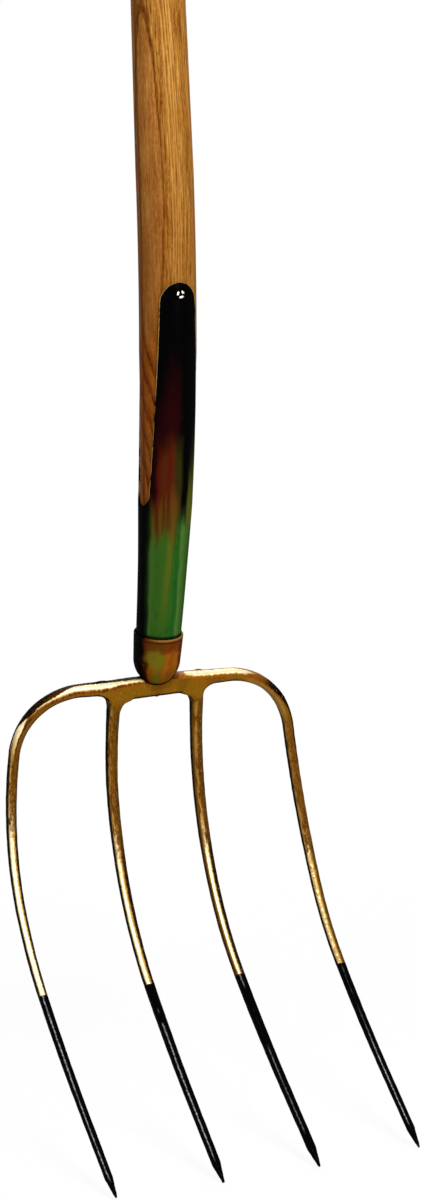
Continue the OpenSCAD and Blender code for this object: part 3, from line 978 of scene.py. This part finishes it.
def head_places(graph, place):
    """Where a point of the head lies on its limb, and the noises that roughen its finish."""
    at = SimpleNamespace()
    at.x, at.y, at.z = place
    at.nx, at.ny, at.nz = graph.split(graph.node("ShaderNodeTexCoord", output="Normal"))
    limb = graph.node("ShaderNodeAttribute", {"attribute_name": "limb"}, output="Vector")
    at.out, at.heading, at.front = graph.split(limb)
    at.inner = graph.node("ShaderNodeAttribute", {"attribute_name": "inner"}, output="Fac")
    at.cloud = streaks(graph, place, 14, 20, 3.0)
    at.mottle = streaks(graph, place, 2.2, 8)
    at.grit = streaks(graph, place, 1.6, 2.4)
    at.speck = streaks(graph, place, 0.9, 1.6)
    at.left = graph.ease(at.x, 0, -10)
    at.right = graph.ease(at.x, 0, 10)
    at.on_leg = at.inner * graph.ease(at.z, -9.5, -17) + (1 - at.inner) * graph.ease(at.z, -20, -52)
    at.off_leg = 1 - at.on_leg
    at.on_bow = graph.ease(at.heading, 0.12, 0.3) * (1 - at.inner)
    at.left_bow = at.on_bow * at.left
    at.right_bow = at.on_bow * at.right
    at.right_inner = at.inner * at.right
    at.outer_left = (1 - at.inner) * at.left
    at.outer_right = (1 - at.inner) * at.right
    at.fore = graph.ease(at.ny, 0.4, 0.1)
    sideways = (at.right - at.left) * graph.math("SINE", at.heading)
    at.outward = at.nz * graph.math("COSINE", at.heading) + at.nx * sideways
    rough = (at.grit - 0.5) * 0.4
    at.over = at.front - at.out + rough
    within = graph.math("MAXIMUM", graph.math("MINIMUM", at.out, 1.0), -1.0)
    at.beside = at.front + within * sideways + rough
    at.top_side = graph.math("MAXIMUM", at.fore, graph.ease(at.outward, 0.3, 0.6)) * at.off_leg
    at.left_side = graph.math("MAXIMUM", at.fore, graph.ease(at.nx, -0.25, -0.55)) * at.on_leg
    return at


def paint_bar(graph, c, at, gold):
    """The crossbar and the bows' tops: a painted highlight above, with a red-brown fringe below it and
    painted dark lines behind.
    """
    crest = graph.ease(at.heading, 0.0, 0.45) - 0.75 - at.right * 0.6
    foot = graph.ease(at.x, -20, -42) * 0.75 + graph.ease(at.x, 16, 50) * 0.45 - 0.1
    foot = foot - graph.ease(at.heading, 0.3, 0.75) * 0.25
    wavy = at.over + (at.cloud - 0.5) * 0.7 + (at.mottle - 0.5) * 0.5
    fringe = graph.band(wavy, foot, foot + 0.6, 0.15) * at.top_side * graph.ease(at.heading, 0.7, 0.4)
    red_brown = graph.mix(graph.ease(at.mottle, 0.42, 0.6), c.rust_brown, c.brick)
    gold = graph.mix(fringe * 0.95, gold, graph.mix(at.right, red_brown, c.rust_gold))
    # Painted highlight: brass and a pale colour on the top and the front-top corner
    reach = graph.ease(at.heading + at.right * 0.42, 0.85, 0.62) * at.top_side
    gold = graph.mix(graph.band(wavy, crest, foot + 0.1, 0.16) * reach, gold, c.brass)
    gold = graph.mix(graph.band(wavy, crest + 0.05, foot - 0.05, 0.14) * reach, gold, c.highlight_cream)
    # Painted shade: dark lines behind the top, on the left and on the right
    behind = graph.ease(wavy, crest + 0.1, crest - 0.2) * at.top_side * at.left
    gold = graph.mix(behind, gold, c.line_brown)
    gold = graph.mix(graph.ease(at.over, -0.68, -0.9) * at.top_side * at.left, gold, c.shade_black)
    line = graph.ease(at.over, -1.25, -1.45) * at.top_side * at.right
    gold = graph.mix(line * 0.7, gold, c.line_brown)
    # Painted shade: black on the faces that turn down
    under = graph.ease(at.outward, -0.4, -0.7) * at.off_leg * (1 - at.right_bow * 0.8)
    return graph.mix(under, gold, c.shade_black)


def paint_bows(graph, c, at, gold):
    """The bows: painted shade in a dark stretch and a painted highlight lens on the left one, painted
    shade in a black crown on the right one.
    """
    # Painted shade and dark reflection on the left bow's top, with a painted shade line beside it
    stretch = graph.ease(at.heading, 0.42, 0.6) * graph.ease(at.heading, 0.98, 0.86) * at.left_bow
    dark = graph.ease(at.over, 0.35, 0.15) * stretch
    gold = graph.mix(dark * at.top_side * 0.85, gold, c.shade_black)
    line = graph.band(at.over, 0.6, 0.95, 0.1) * graph.band(at.heading, 0.82, 1.42, 0.06)
    gold = graph.mix(line * at.left_bow * at.fore, gold, c.line_brown)
    # Painted highlight: a pale lens on the left bow's outer face
    swell = graph.ease(at.heading, 0.84, 1.1)
    lens = graph.band(at.over, 0.05 - swell * 0.85, 0.05 + swell * 0.6, 0.08)
    lens = lens * graph.ease(at.heading, 0.84, 0.9) * graph.ease(at.z, -48, -36) * at.left_bow * at.fore
    gold = graph.mix(lens, gold, graph.mix(graph.ease(at.z, -22, -42), c.highlight_cream, c.brass))
    # Painted shade: a black outline behind the left bow
    rear = at.over + swell * 0.3
    outline = graph.ease(rear, -0.5, -0.72) * graph.ease(at.heading, 0.3, 0.5) * at.left_bow
    gold = graph.mix(outline * at.top_side, gold, c.shade_black)
    # A red-brown fringe, and a painted highlight brow on the right bow's front
    fringe = graph.band(at.over, 0.1, 0.75, 0.15) * graph.band(at.heading, 0.2, 0.62, 0.1) * at.right_bow
    gold = graph.mix(fringe, gold, c.rust_brown)
    brow = graph.band(at.over, 1.15, 1.75, 0.2) * graph.band(at.heading, 0.3, 1.3, 0.15)
    gold = graph.mix(brow * at.right_bow * at.fore * 0.25, gold, c.brass)
    # Painted shade: a dark red to black crown on the right bow
    lid = 1.3 - graph.ease(at.heading, 0.7, 1.35) * 0.55
    crown = graph.ease(at.over, lid, lid - 0.6) * graph.ease(at.heading, 0.42, 0.74)
    crown = crown * graph.ease(at.z, -76, -44)
    gold = graph.mix(crown * at.right_bow, gold, c.dark_brick)
    return graph.mix(graph.ease(crown, 0.4, 1.0) * at.right_bow, gold, c.shade_black)


def paint_legs(graph, c, at, gold):
    """The tines: a painted highlight streak, paler lower down, between painted shade on a black left
    edge and a dark right one.
    """
    seen = at.on_leg * at.fore
    ragged = at.z + (at.mottle - 0.5) * 44 + (at.grit - 0.5) * 36 + (at.cloud - 0.5) * 16
    ragged = ragged + at.outer_right * 16 - at.outer_left * 24
    low = graph.ease(ragged, -98, -134)
    start = at.right_inner * 0.45 - at.outer_left * 0.1 - at.outer_right * 0.1 - 0.2
    end = at.right_inner * 0.2 + at.outer_left * 0.35 + 0.6
    end = end + graph.ease(at.z, -150, -190) * at.left * 0.2
    # Painted highlights: a soft ridge, a sheen and a streak, with a painted shade line beside them
    ridge = graph.band(at.beside, start - 0.1, start + 0.55, 0.15) * graph.ease(at.z, -90, -60)
    gold = graph.mix(ridge * graph.ease(at.mottle, 0.6, 0.45) * seen * 0.35, gold, c.brass)
    gold = graph.mix(graph.band(at.beside, 0.75, 1.05, 0.1) * seen * 0.5, gold, c.dark_bronze)
    sheen = graph.ease(at.z, -62, -100) * (0.9 - at.right * 0.4)
    sheen = graph.math("MAXIMUM", sheen, graph.ease(at.x, -50, -70) * 0.85)
    sheen = sheen * graph.ease(at.mottle, 0.62, 0.46) * seen
    gold = graph.mix(graph.band(at.beside, start - 0.15, start + 0.6, 0.15) * sheen, gold, c.brass)
    gold = graph.mix(graph.band(at.beside, start - 0.2, end + 0.35, 0.2) * low * seen, gold, c.brass)
    shine = graph.mix(at.outer_right * 0.7, c.highlight_cream, c.brass)
    flecked = 1 - graph.ease(at.mottle + at.grit - 0.5, 0.46, 0.56) * at.outer_right * 0.8
    streak = graph.band(at.beside, start, end, 0.15) * low * seen
    gold = graph.mix(streak * flecked, gold, shine)
    gold = graph.mix(streak * graph.ease(at.grit, 0.48, 0.4) * at.outer_right * 0.8, gold, c.highlight_cream)
    # Painted shade on the right edge
    far = at.beside + at.right_inner * 0.15 - at.outer_left * 0.1
    far = graph.ease(far, 1.05, 1.3) * (0.35 + low * 0.6) * (1 - at.outer_right * 0.6)
    gold = graph.mix(far * seen, gold, c.shade_black)
    # Painted shade: a brown line and a black edge on the left
    near = at.beside + at.right * 0.15 - at.outer_left * 0.2 - at.left * 0.08
    gold = graph.mix(graph.ease(near, -0.1, -0.45) * at.left_side * 0.8, gold, c.line_brown)
    edge = graph.ease(near, -0.38, -0.58) * at.left_side * (1 - at.right_inner * low * 0.75)
    gold = graph.mix(edge, gold, c.shade_black)
    # Painted shade: black on the faces that turn right
    return graph.mix(graph.ease(at.nx, 0.5, 0.8) * at.on_leg, gold, c.shade_black)


def paint_back(graph, c, at, gold):
    """Painted shade in black on the back's upper side, and fine specks all over."""
    hind = graph.ease(at.ny, 0.05, 0.35) * graph.ease(at.outward, 0.15, 0.4)
    gold = graph.mix(hind, gold, c.shade_black)
    gold = graph.mix(graph.ease(at.speck, 0.58, 0.7) * 0.4, gold, c.dark_bronze)
    return graph.mix(graph.ease(at.speck, 0.38, 0.28) * 0.35 * at.fore, gold, c.brass)


def paint_by_cup(graph, c, at, gold):
    """Painted shadow of the cup on the crossbar: red-brown and dark on the right, black where the two
    meet.
    """
    head, socket = bpy.context.scene.fork_head, bpy.context.scene.fork_socket
    cup_r = (strap_radius(0.0) + socket.cup_gap + socket.cup_wall_t) / MM
    cup_h = socket.cup_round_h / MM
    above = at.z - (head.yoke_rise - socket.cup_reach + socket.cup_round_h) / MM
    near_cup = (at.x * at.x + at.y * at.y) / cup_r ** 2 + above * above / cup_h ** 2
    # Painted shadow round the cup
    shaded = graph.ease(at.over, 0.55, 0.2) * at.right
    gold = graph.mix(graph.ease(near_cup, 2.4, 2.0) * shaded * 0.9, gold, c.rust_brown)
    gold = graph.mix(graph.ease(near_cup, 1.8, 1.4) * shaded * 0.6, gold, c.dark_brick)
    return graph.mix(graph.ease(near_cup, 1.2, 1.06) * 0.95, gold, c.shade_black)


def black_ends(graph, c, at, place):
    """1 on the tines' dipped ends, and their black lacquer, with broken painted highlights in grey along
    the front.
    """
    head = bpy.context.scene.fork_head
    dip_top = (head.tine_len - head.dip_len) / MM
    below = -at.z - dip_top - at.x * head.dip_slant + (at.cloud - 0.5) * 2
    tip_up = at.z + head.tine_len / MM
    low_end = graph.band(tip_up, 18, 92, 14)
    # Painted highlights: broken grey glints along the front
    tine_glints = graph.band(at.beside + low_end * 0.1, 0.38, 0.66, 0.14) * at.fore
    tine_glints = tine_glints * graph.ease(tip_up, 12, 22)
    glint_gaps = streaks(graph, place, 7, 30) + low_end * (0.12 + at.outer_right * 0.16)
    tine_glints = tine_glints * graph.ease(glint_gaps, 0.44, 0.6) * (0.3 + graph.ease(at.speck, 0.42, 0.56) * 0.7)
    tine_glints = tine_glints * (1 - at.right_inner * 0.6 - at.outer_right * (1 - low_end) * 0.75)
    return graph.ease(below, -0.3, 0.3), graph.mix(tine_glints, c.dip_black, c.glint_grey)


def head_finish():
    """Gold lacquer on forged steel, with painted highlights above and painted shade on the sides, and
    black dipped ends.
    """
    c = bpy.context.scene.fork_finish
    material, graph, place = new_finish("gold_and_black_lacquer")
    at = head_places(graph, place)
    roots = at.inner * graph.ease(at.z, -56, -14) * 0.5
    warm = graph.math("MAXIMUM", at.off_leg * (1 - at.left_bow), roots)
    gold = graph.mix(warm, c.bronze, c.old_gold)
    gold = graph.mix(graph.ease(at.cloud, 0.5, 0.66) * 0.35, gold, c.dark_bronze)
    gold = graph.mix(graph.ease(at.mottle, 0.5, 0.64) * at.on_leg * 0.7, gold, c.dark_bronze)
    gold = graph.mix(graph.ease(at.grit, 0.55, 0.68) * at.on_leg * 0.6, gold, c.line_brown)
    for paint in (paint_bar, paint_bows, paint_legs, paint_back, paint_by_cup):
        gold = paint(graph, c, at, gold)
    dip, black = black_ends(graph, c, at, place)
    tone = graph.mix(dip, gold, black)
    light = graph.node("ShaderNodeRGBToBW", None, {0: tone})
    bright = graph.ease(light, 0.02, 0.1) * 0.3 + graph.ease(light, 0.5, 0.75) * 0.4
    pits = graph.ease(at.speck, 0.6, 0.7) * 0.5
    coat(graph, {
        **LACQUER,
        "Base Color": tone,
        "Metallic": (1 - dip) * bright,
        "Roughness": 0.4 + at.grit * 0.16 - dip * 0.12,
        "Coat Roughness": 0.2,
        "Normal": bump(graph, at.grit * 0.7 + at.cloud - pits, 0.3, 0.4),
    })
    return material


def steel_finish():
    """Rivet steel: painted black for its dark reflection, with painted highlights in three bright
    patches round a dark dimple.
    """
    c, socket = bpy.context.scene.fork_finish, bpy.context.scene.fork_socket
    material, graph, place = new_finish("rivet_steel")
    x, _, z = place
    up = z - (socket.notch_rise + socket.strap_len - socket.rivet_drop) / MM
    marks = streaks(graph, place, 1.1, 1.1)
    out = graph.math("SQRT", x * x + up * up) + (marks - 0.5) * 0.8
    angle = graph.math("ARCTAN2", up, x)
    # Painted highlights: three bright patches round the dimple
    first_spot = math.radians(42)
    thirds = graph.math("COSINE", (angle - first_spot) * 3)
    lower = graph.ease(up, -0.6, -1.6) * graph.ease(x, -1.6, -0.4)
    rivet_glints = graph.band(out, 1.3, 2.6, 0.3) * graph.ease(thirds + lower * 1.2, -0.3, 0.3)
    coat(graph, {
        "Base Color": graph.mix(rivet_glints, c.shade_black, c.steel),
        "Metallic": rivet_glints,
        "Roughness": 0.2 + marks * 0.14,
        "Specular IOR Level": 0.0,
        "Normal": bump(graph, marks, 0.25, 0.3),
    })
    return material


# Operators

class FORK_OT_handle(bpy.types.Operator):
    """Turns the ash handle and bends it"""
    bl_idname = "fork.handle"
    bl_label = "Ash handle"

    def execute(self, context):
        handle = context.scene.fork_handle
        top = bend_top(handle)
        shaft_foot = top + handle.swell_len
        shaft_top = shaft_foot + handle.shaft_len
        bend_step, swell_step, shaft_step = 5 * MM, 15 * MM, 60 * MM
        rises = spread(handle.nose_rise, top, bend_step)
        rises += spread(top, shaft_foot, swell_step)
        rises += spread(shaft_foot, shaft_top, shaft_step)
        profile = [(wood_radius(handle, rise), rise) for rise in rises]
        dome_half = math.asin(handle.shaft_d / 2 / handle.dome_r)
        centre = shaft_top - handle.dome_r * math.cos(dome_half)
        profile += arc((0.0, centre), handle.dome_r, math.pi / 2 - dome_half, NEAR_POLE, 14)
        piece = new_piece("ash_handle", revolve(profile, ROUND_SIDES))
        bend_piece(piece, ash_finish())
        settle(piece, "handle")
        return {"FINISHED"}


class FORK_OT_straps(bpy.types.Operator):
    """Rolls the two half sockets with their straps"""
    bl_idname = "fork.straps"
    bl_label = "Straps"

    def execute(self, context):
        socket = context.scene.fork_socket
        bite = socket.notch_w / 2
        end_r = socket.strap_top_w / 2
        round_rise = socket.notch_rise + socket.strap_len - end_r
        step, round_steps, half_columns = 3 * MM, 16, 24
        short_of_tip = 0.97
        sharp = math.radians(50)
        quarter = [math.pi / 2 * k / round_steps for k in range(round_steps + 1)]
        rises = spread(socket.strap_foot, socket.notch_rise, step)
        rises += [socket.notch_rise + bite * (1 - math.cos(a)) for a in quarter[:-1]]
        rises += spread(socket.notch_rise + bite, round_rise, step)
        rises += [round_rise + end_r * math.sin(a * short_of_tip) for a in quarter]
        columns = [math.sin(math.pi / 2 * (i / half_columns - 1)) for i in range(2 * half_columns + 1)]
        finish = strap_finish()
        for name, node, way in (
            ("front_strap_shell", "front_strap", -1),
            ("rear_strap_shell", "rear_strap", 1),
        ):
            rows, insets = [], []
            for rise in rises:
                half = strap_half_angle(socket, rise)
                radius = strap_radius(rise)
                across = way * radius
                angles = [half * column for column in columns]
                rows.append([(-across * math.sin(a), across * math.cos(a), rise) for a in angles])
                insets += [(half - abs(a)) * radius / MM for a in angles]
            piece = new_piece(name, skin(rows, closed=False))
            inset = piece.data.attributes.new("inset", "FLOAT", "POINT")
            inset.data.foreach_set("value", insets)
            wall = piece.modifiers.new("Wall", "SOLIDIFY")
            wall.thickness = socket.strap_t
            wall.offset = -1.0
            wall.use_even_offset = True
            rounding = piece.modifiers.new("Edges", "BEVEL")
            rounding.width = socket.strap_round
            rounding.segments = 3
            rounding.limit_method = "ANGLE"
            rounding.angle_limit = sharp
            bend_piece(piece, finish)
            settle(piece, node)
        return {"FINISHED"}


class FORK_OT_rivet(bpy.types.Operator):
    """Sets the rivet through the straps"""
    bl_idname = "fork.rivet"
    bl_label = "Strap rivet"

    def execute(self, context):
        socket = context.scene.fork_socket
        rise = socket.notch_rise + socket.strap_len - socket.rivet_drop
        base = strap_radius(rise)
        head_r, shank_r = socket.rivet_head_d / 2, socket.rivet_d / 2
        edge, dimple = 0.35 * socket.rivet_head_h, 0.34 * head_r
        crown = socket.rivet_head_h - edge
        dimple_d = 0.55 * socket.rivet_head_h
        top = base + socket.rivet_head_h
        by_pole = 0.02
        steps = [math.pi / 2 * k / 12 for k in range(13)]
        profile = [(head_r * math.sin(a), -base - edge - crown * math.cos(a))
                   for a in [by_pole] + steps[1:]]
        profile += [(head_r, -base), (shank_r, -base), (shank_r, base), (head_r, base)]
        profile += [(dimple + (head_r - dimple) * math.cos(a), base + edge + crown * math.sin(a))
                    for a in steps]
        profile += [(dimple * math.cos(a), top - dimple_d * math.sin(a)) for a in steps[3:-1]]
        points, faces = revolve(profile, ROUND_SIDES // 2)
        piece = new_piece("rivet_with_dimple", ([(x, -z, y + rise) for x, y, z in points], faces))
        bend_piece(piece, steel_finish())
        settle(piece, "strap_rivet")
        return {"FINISHED"}


class FORK_OT_cup(bpy.types.Operator):
    """Turns the cup that joins the socket to the crossbar"""
    bl_idname = "fork.cup"
    bl_label = "Neck cup"

    def execute(self, context):
        handle, socket = context.scene.fork_handle, context.scene.fork_socket
        floor = handle.neck_len - socket.cup_depth
        bore_rim = strap_radius(handle.neck_len) + socket.cup_gap
        bore_floor = strap_radius(floor) + socket.cup_gap
        base = bore_floor + socket.cup_wall_t
        lip = socket.cup_rim_t / 2
        bottom = context.scene.fork_head.yoke_rise - socket.cup_reach
        shoulder = bottom + socket.cup_round_h
        rim = handle.neck_len - lip
        by_pole, round_steps, wall_step, floor_hole = 0.2, 28, 2 * MM, 0.2 * MM
        turns = [math.pi / 2 * max(k, by_pole) / round_steps for k in range(round_steps + 1)]
        profile = [(base * math.sin(a), bottom + socket.cup_round_h * (1 - math.cos(a))) for a in turns]
        profile += [(lookup(z, [(shoulder, base), (rim, bore_rim + 2 * lip)]), z)
                    for z in spread(shoulder, rim, wall_step)[1:]]
        profile += arc((bore_rim + lip, rim), lip, 0.0, math.pi, 12)
        profile += [(bore_floor, floor), (floor_hole, floor)]
        piece = new_piece("socket_cup", revolve(profile, ROUND_SIDES))
        bend_piece(piece, cup_finish())
        settle(piece, "neck_cup")
        return {"FINISHED"}


class FORK_OT_head(bpy.types.Operator):
    """Forges the crossbar and its tines as one skin"""
    bl_idname = "fork.head"
    bl_label = "Forged head"

    def execute(self, context):
        head = context.scene.fork_head
        runs = bow_runs(head)
        total = sum(run for run, _ in runs)
        step = 2 * MM
        half = spread(0.0, total - head.point_len, step)
        half += self.point_stations(head, total)
        stations = [-at for at in reversed(half[1:])] + half
        downs = spread(-head.yoke_rise / 2, head.tine_len - head.point_len, step)
        downs += self.point_stations(head, head.tine_len)
        shells = [skin([bar_ring(head, runs, at) for at in stations])]
        for side in (1, -1):
            shells.append(skin([tine_ring(head, side, down) for down in downs]))
        sunk = 0.4 * MM
        top, foot = head.bar_h / 2 - sunk, head.yoke_rise - head.yoke_h
        for across, back, rise, stretch in (
            (-40, 1.0, top, 3.0),
            (33, 2.2, top, 1.9),
            (1.5, 0.0, foot, 0.9),
        ):
            shells.append(self.lump(head, across * MM, back * MM, rise, stretch))
        piece = new_piece("forged_head", *shells)
        self.join_limbs(piece, head.forge_skin)
        self.mark_limbs(piece, head)
        self.skew(piece, head)
        bend_piece(piece, head_finish(), head.mark_d)
        settle(piece, "fork_head")
        return {"FINISHED"}

    @staticmethod
    def point_stations(head, end):
        """Stations over the ground point of a tine that ends here."""
        steps = 8
        return [end - head.point_len * (1 - k / steps) for k in range(steps + 1)]

    @staticmethod
    def lump(head, across, back, rise, stretch):
        """A small low lump that the hammer leaves on the crossbar."""
        low = 0.7
        profile = arc((0.0, 0.0), head.lump_r, -NEAR_POLE, NEAR_POLE, 10)
        points, faces = revolve(profile, 16)
        return [(x * stretch + across, y + back, z * low + rise) for x, y, z in points], faces

    @staticmethod
    def mark_limbs(piece, head):
        """Notes each point's place on its limb as an attribute."""
        points = [vertex.co for vertex in piece.data.vertices]
        places = [limb_place(head, abs(point.x), point.y, -point.z) for point in points]
        limb = piece.data.attributes.new("limb", "FLOAT_VECTOR", "POINT")
        limb.data.foreach_set("vector", [part for place in places for part in place[:3]])
        inner = piece.data.attributes.new("inner", "FLOAT", "POINT")
        inner.data.foreach_set("value", [place[3] for place in places])

    @staticmethod
    def skew(piece, head):
        """Sets the forging a little askew, fading out down the tines."""
        axis = head.inner_root / 2
        near_tine, past_tine = head.fillet_out * 1.5, head.fillet_out * 2.5
        inner_fade, bow_fade = head.bow_r * 1.4, head.bow_r * 2
        for vertex in piece.data.vertices:
            point = vertex.co
            right = lookup(point.x, [(-axis, 0.0), (axis / 2, 1.0)])
            by_tine = lookup(abs(point.x + axis), [(near_tine, 1.0), (past_tine, 0.0)])
            below = lookup(-point.z, [(head.bar_h / 2, 0.0), (head.yoke_h, 1.0), (inner_fade, 0.0)])
            upper = lookup(-point.z, [(head.bow_r / 2, 1.0), (bow_fade, 0.0)])
            point.x += head.skew_in * by_tine * below
            point.z += head.skew_up * right * upper

    @staticmethod
    def join_limbs(piece, size):
        """Joins the overlapping limbs into one even skin and smooths their meetings."""
        skin_modifier = piece.modifiers.new("Skin", "REMESH")
        skin_modifier.mode = "VOXEL"
        skin_modifier.voxel_size = size
        smooth = piece.modifiers.new("Smooth", "SMOOTH")
        smooth.factor = 0.5
        smooth.iterations = 4
        flatten(piece)


class FORK_OT_stage(bpy.types.Operator):
    """Sets the floor, the lamps and the camera"""
    bl_idname = "fork.stage"
    bl_label = "Stage"

    def execute(self, context):
        stage = context.scene.fork_stage
        context.scene.view_settings.view_transform = "Standard"
        self.add_floor(stage)
        self.add_sky(context.scene, stage)
        middle = crossbar_place(context.scene.fork_handle)
        for name, (place, size, power) in {
            "key_lamp": ((-0.14, -1.6, 1.5), 0.6, stage.key_power),
            "fill_lamp": ((0.5, -2.1, 0.35), 0.7, stage.fill_power),
            "back_lamp": ((0.4, 1.9, 1.2), 0.9, stage.back_power),
        }.items():
            self.add_lamp(name, middle + Vector(place), middle, size, power)
        self.add_camera(context.scene, stage, middle)
        return {"FINISHED"}

    @staticmethod
    def seen(graph):
        """1 for rays that show the background: from the camera, in gloss and through glass."""
        path = graph.node("ShaderNodeLightPath").socket.node.outputs
        names = ("Is Camera Ray", "Is Glossy Ray", "Is Transmission Ray")
        camera, glossy, clear = (Value(graph, path[name]) for name in names)
        return graph.math("MAXIMUM", graph.math("MAXIMUM", camera, glossy), clear)

    def add_floor(self, stage):
        """A pale floor under the points, white to the camera but for the fork's shadow."""
        half = stage.floor_half
        level = CAD_BOX[0][2] - stage.floor_room
        corners = [(x * half, y * half, level) for x, y in ((-1, -1), (1, -1), (1, 1), (-1, 1))]
        floor = new_piece("floor", (corners, [(0, 1, 2, 3)]))
        material = bpy.data.materials.new("pale_floor")
        graph = clean_graph(material)
        seen = self.seen(graph)
        x, y, _ = graph.split(graph.node("ShaderNodeTexCoord", output="Object"))
        away = graph.math("SQRT", x * x + y * y)
        near = graph.ease(away, stage.shade_far, stage.shade_near)
        grey = (stage.floor_grey, stage.floor_grey, stage.floor_grey, 1.0)
        matt = graph.node("ShaderNodeBsdfDiffuse", None, {"Color": graph.mix(seen, grey, WHITE)})
        white = graph.node("ShaderNodeEmission", None, {"Color": WHITE, "Strength": 1.0})
        glow = seen * (1 - near * stage.shade_share)
        shown = graph.node("ShaderNodeMixShader", None, {0: glow, 1: matt, 2: white})
        graph.node("ShaderNodeOutputMaterial", None, {"Surface": shown})
        floor.data.materials.append(material)

    def add_sky(self, scene, stage):
        """A white background that lights the fork softly."""
        world = bpy.data.worlds.new("studio")
        graph = clean_graph(world)
        seen = self.seen(graph)
        strength = seen + (1 - seen) * stage.sky
        sky = graph.node("ShaderNodeBackground", None, {"Color": WHITE, "Strength": strength})
        graph.node("ShaderNodeOutputWorld", None, {"Surface": sky})
        scene.world = world

    @staticmethod
    def add_lamp(name, place, target, size, power):
        """A square soft lamp that looks at a target."""
        lamp = bpy.data.lights.new(name, "AREA")
        lamp.size = size
        lamp.energy = power
        lamp_object = bpy.data.objects.new(name, lamp)
        lamp_object.location = place
        lamp_object.rotation_euler = (target - place).to_track_quat("-Z", "Y").to_euler()
        bpy.context.scene.collection.objects.link(lamp_object)

    @staticmethod
    def add_camera(scene, stage, middle):
        """The camera at the picture's viewing angle."""
        azimuth, elevation, roll = stage.azimuth, stage.elevation, stage.roll
        out = Vector((math.sin(azimuth), -math.cos(azimuth), 0))
        back = out * math.cos(elevation) + Vector((0, 0, math.sin(elevation)))
        level = Vector((math.cos(azimuth), math.sin(azimuth), 0))
        upright = back.cross(level)
        right = level * math.cos(roll) + upright * math.sin(roll)
        up = upright * math.cos(roll) - level * math.sin(roll)
        target = middle + level * stage.target_right + Vector((0, 0, stage.target_rise))
        lens = bpy.data.cameras.new("camera")
        lens.sensor_fit = "AUTO"
        lens.lens = stage.focal_pixels / max(FRAME_PIXELS) * lens.sensor_width
        camera = bpy.data.objects.new("camera", lens)
        turned = Matrix((right, up, back)).transposed().to_4x4()
        camera.matrix_world = Matrix.Translation(target + back * stage.distance) @ turned
        scene.collection.objects.link(camera)
        scene.camera = camera


class FORK_PT_panel(bpy.types.Panel):
    """Lists the fork's pieces and sizes"""
    bl_idname = "FORK_PT_panel"
    bl_label = "Manure fork"
    bl_space_type = "VIEW_3D"
    bl_region_type = "UI"
    bl_category = "Fork"

    def draw(self, context):
        for operator in OPERATORS:
            self.layout.operator(operator.bl_idname)
        for name, group in PROPERTY_GROUPS.items():
            box = self.layout.box()
            for field in group.__annotations__:
                box.prop(getattr(context.scene, name), field)


OPERATORS = (FORK_OT_handle, FORK_OT_straps, FORK_OT_rivet, FORK_OT_cup, FORK_OT_head, FORK_OT_stage)


def register():
    """Registers the classes and hangs the properties on the scene."""
    for group in PROPERTY_GROUPS.values():
        bpy.utils.register_class(group)
    for name, group in PROPERTY_GROUPS.items():
        setattr(bpy.types.Scene, name, PointerProperty(type=group))
    for item in (*OPERATORS, FORK_PT_panel):
        bpy.utils.register_class(item)


def unregister():
    """Takes the properties off the scene and unregisters the classes."""
    for item in reversed((*OPERATORS, FORK_PT_panel)):
        bpy.utils.unregister_class(item)
    for name in PROPERTY_GROUPS:
        delattr(bpy.types.Scene, name)
    for group in reversed(PROPERTY_GROUPS.values()):
        bpy.utils.unregister_class(group)


def main():
    """Makes the pieces and the stage."""
    register()
    for operator in OPERATORS:
        area, name = operator.bl_idname.split(".")
        getattr(getattr(bpy.ops, area), name)()


if __name__ == "__main__":
    main()
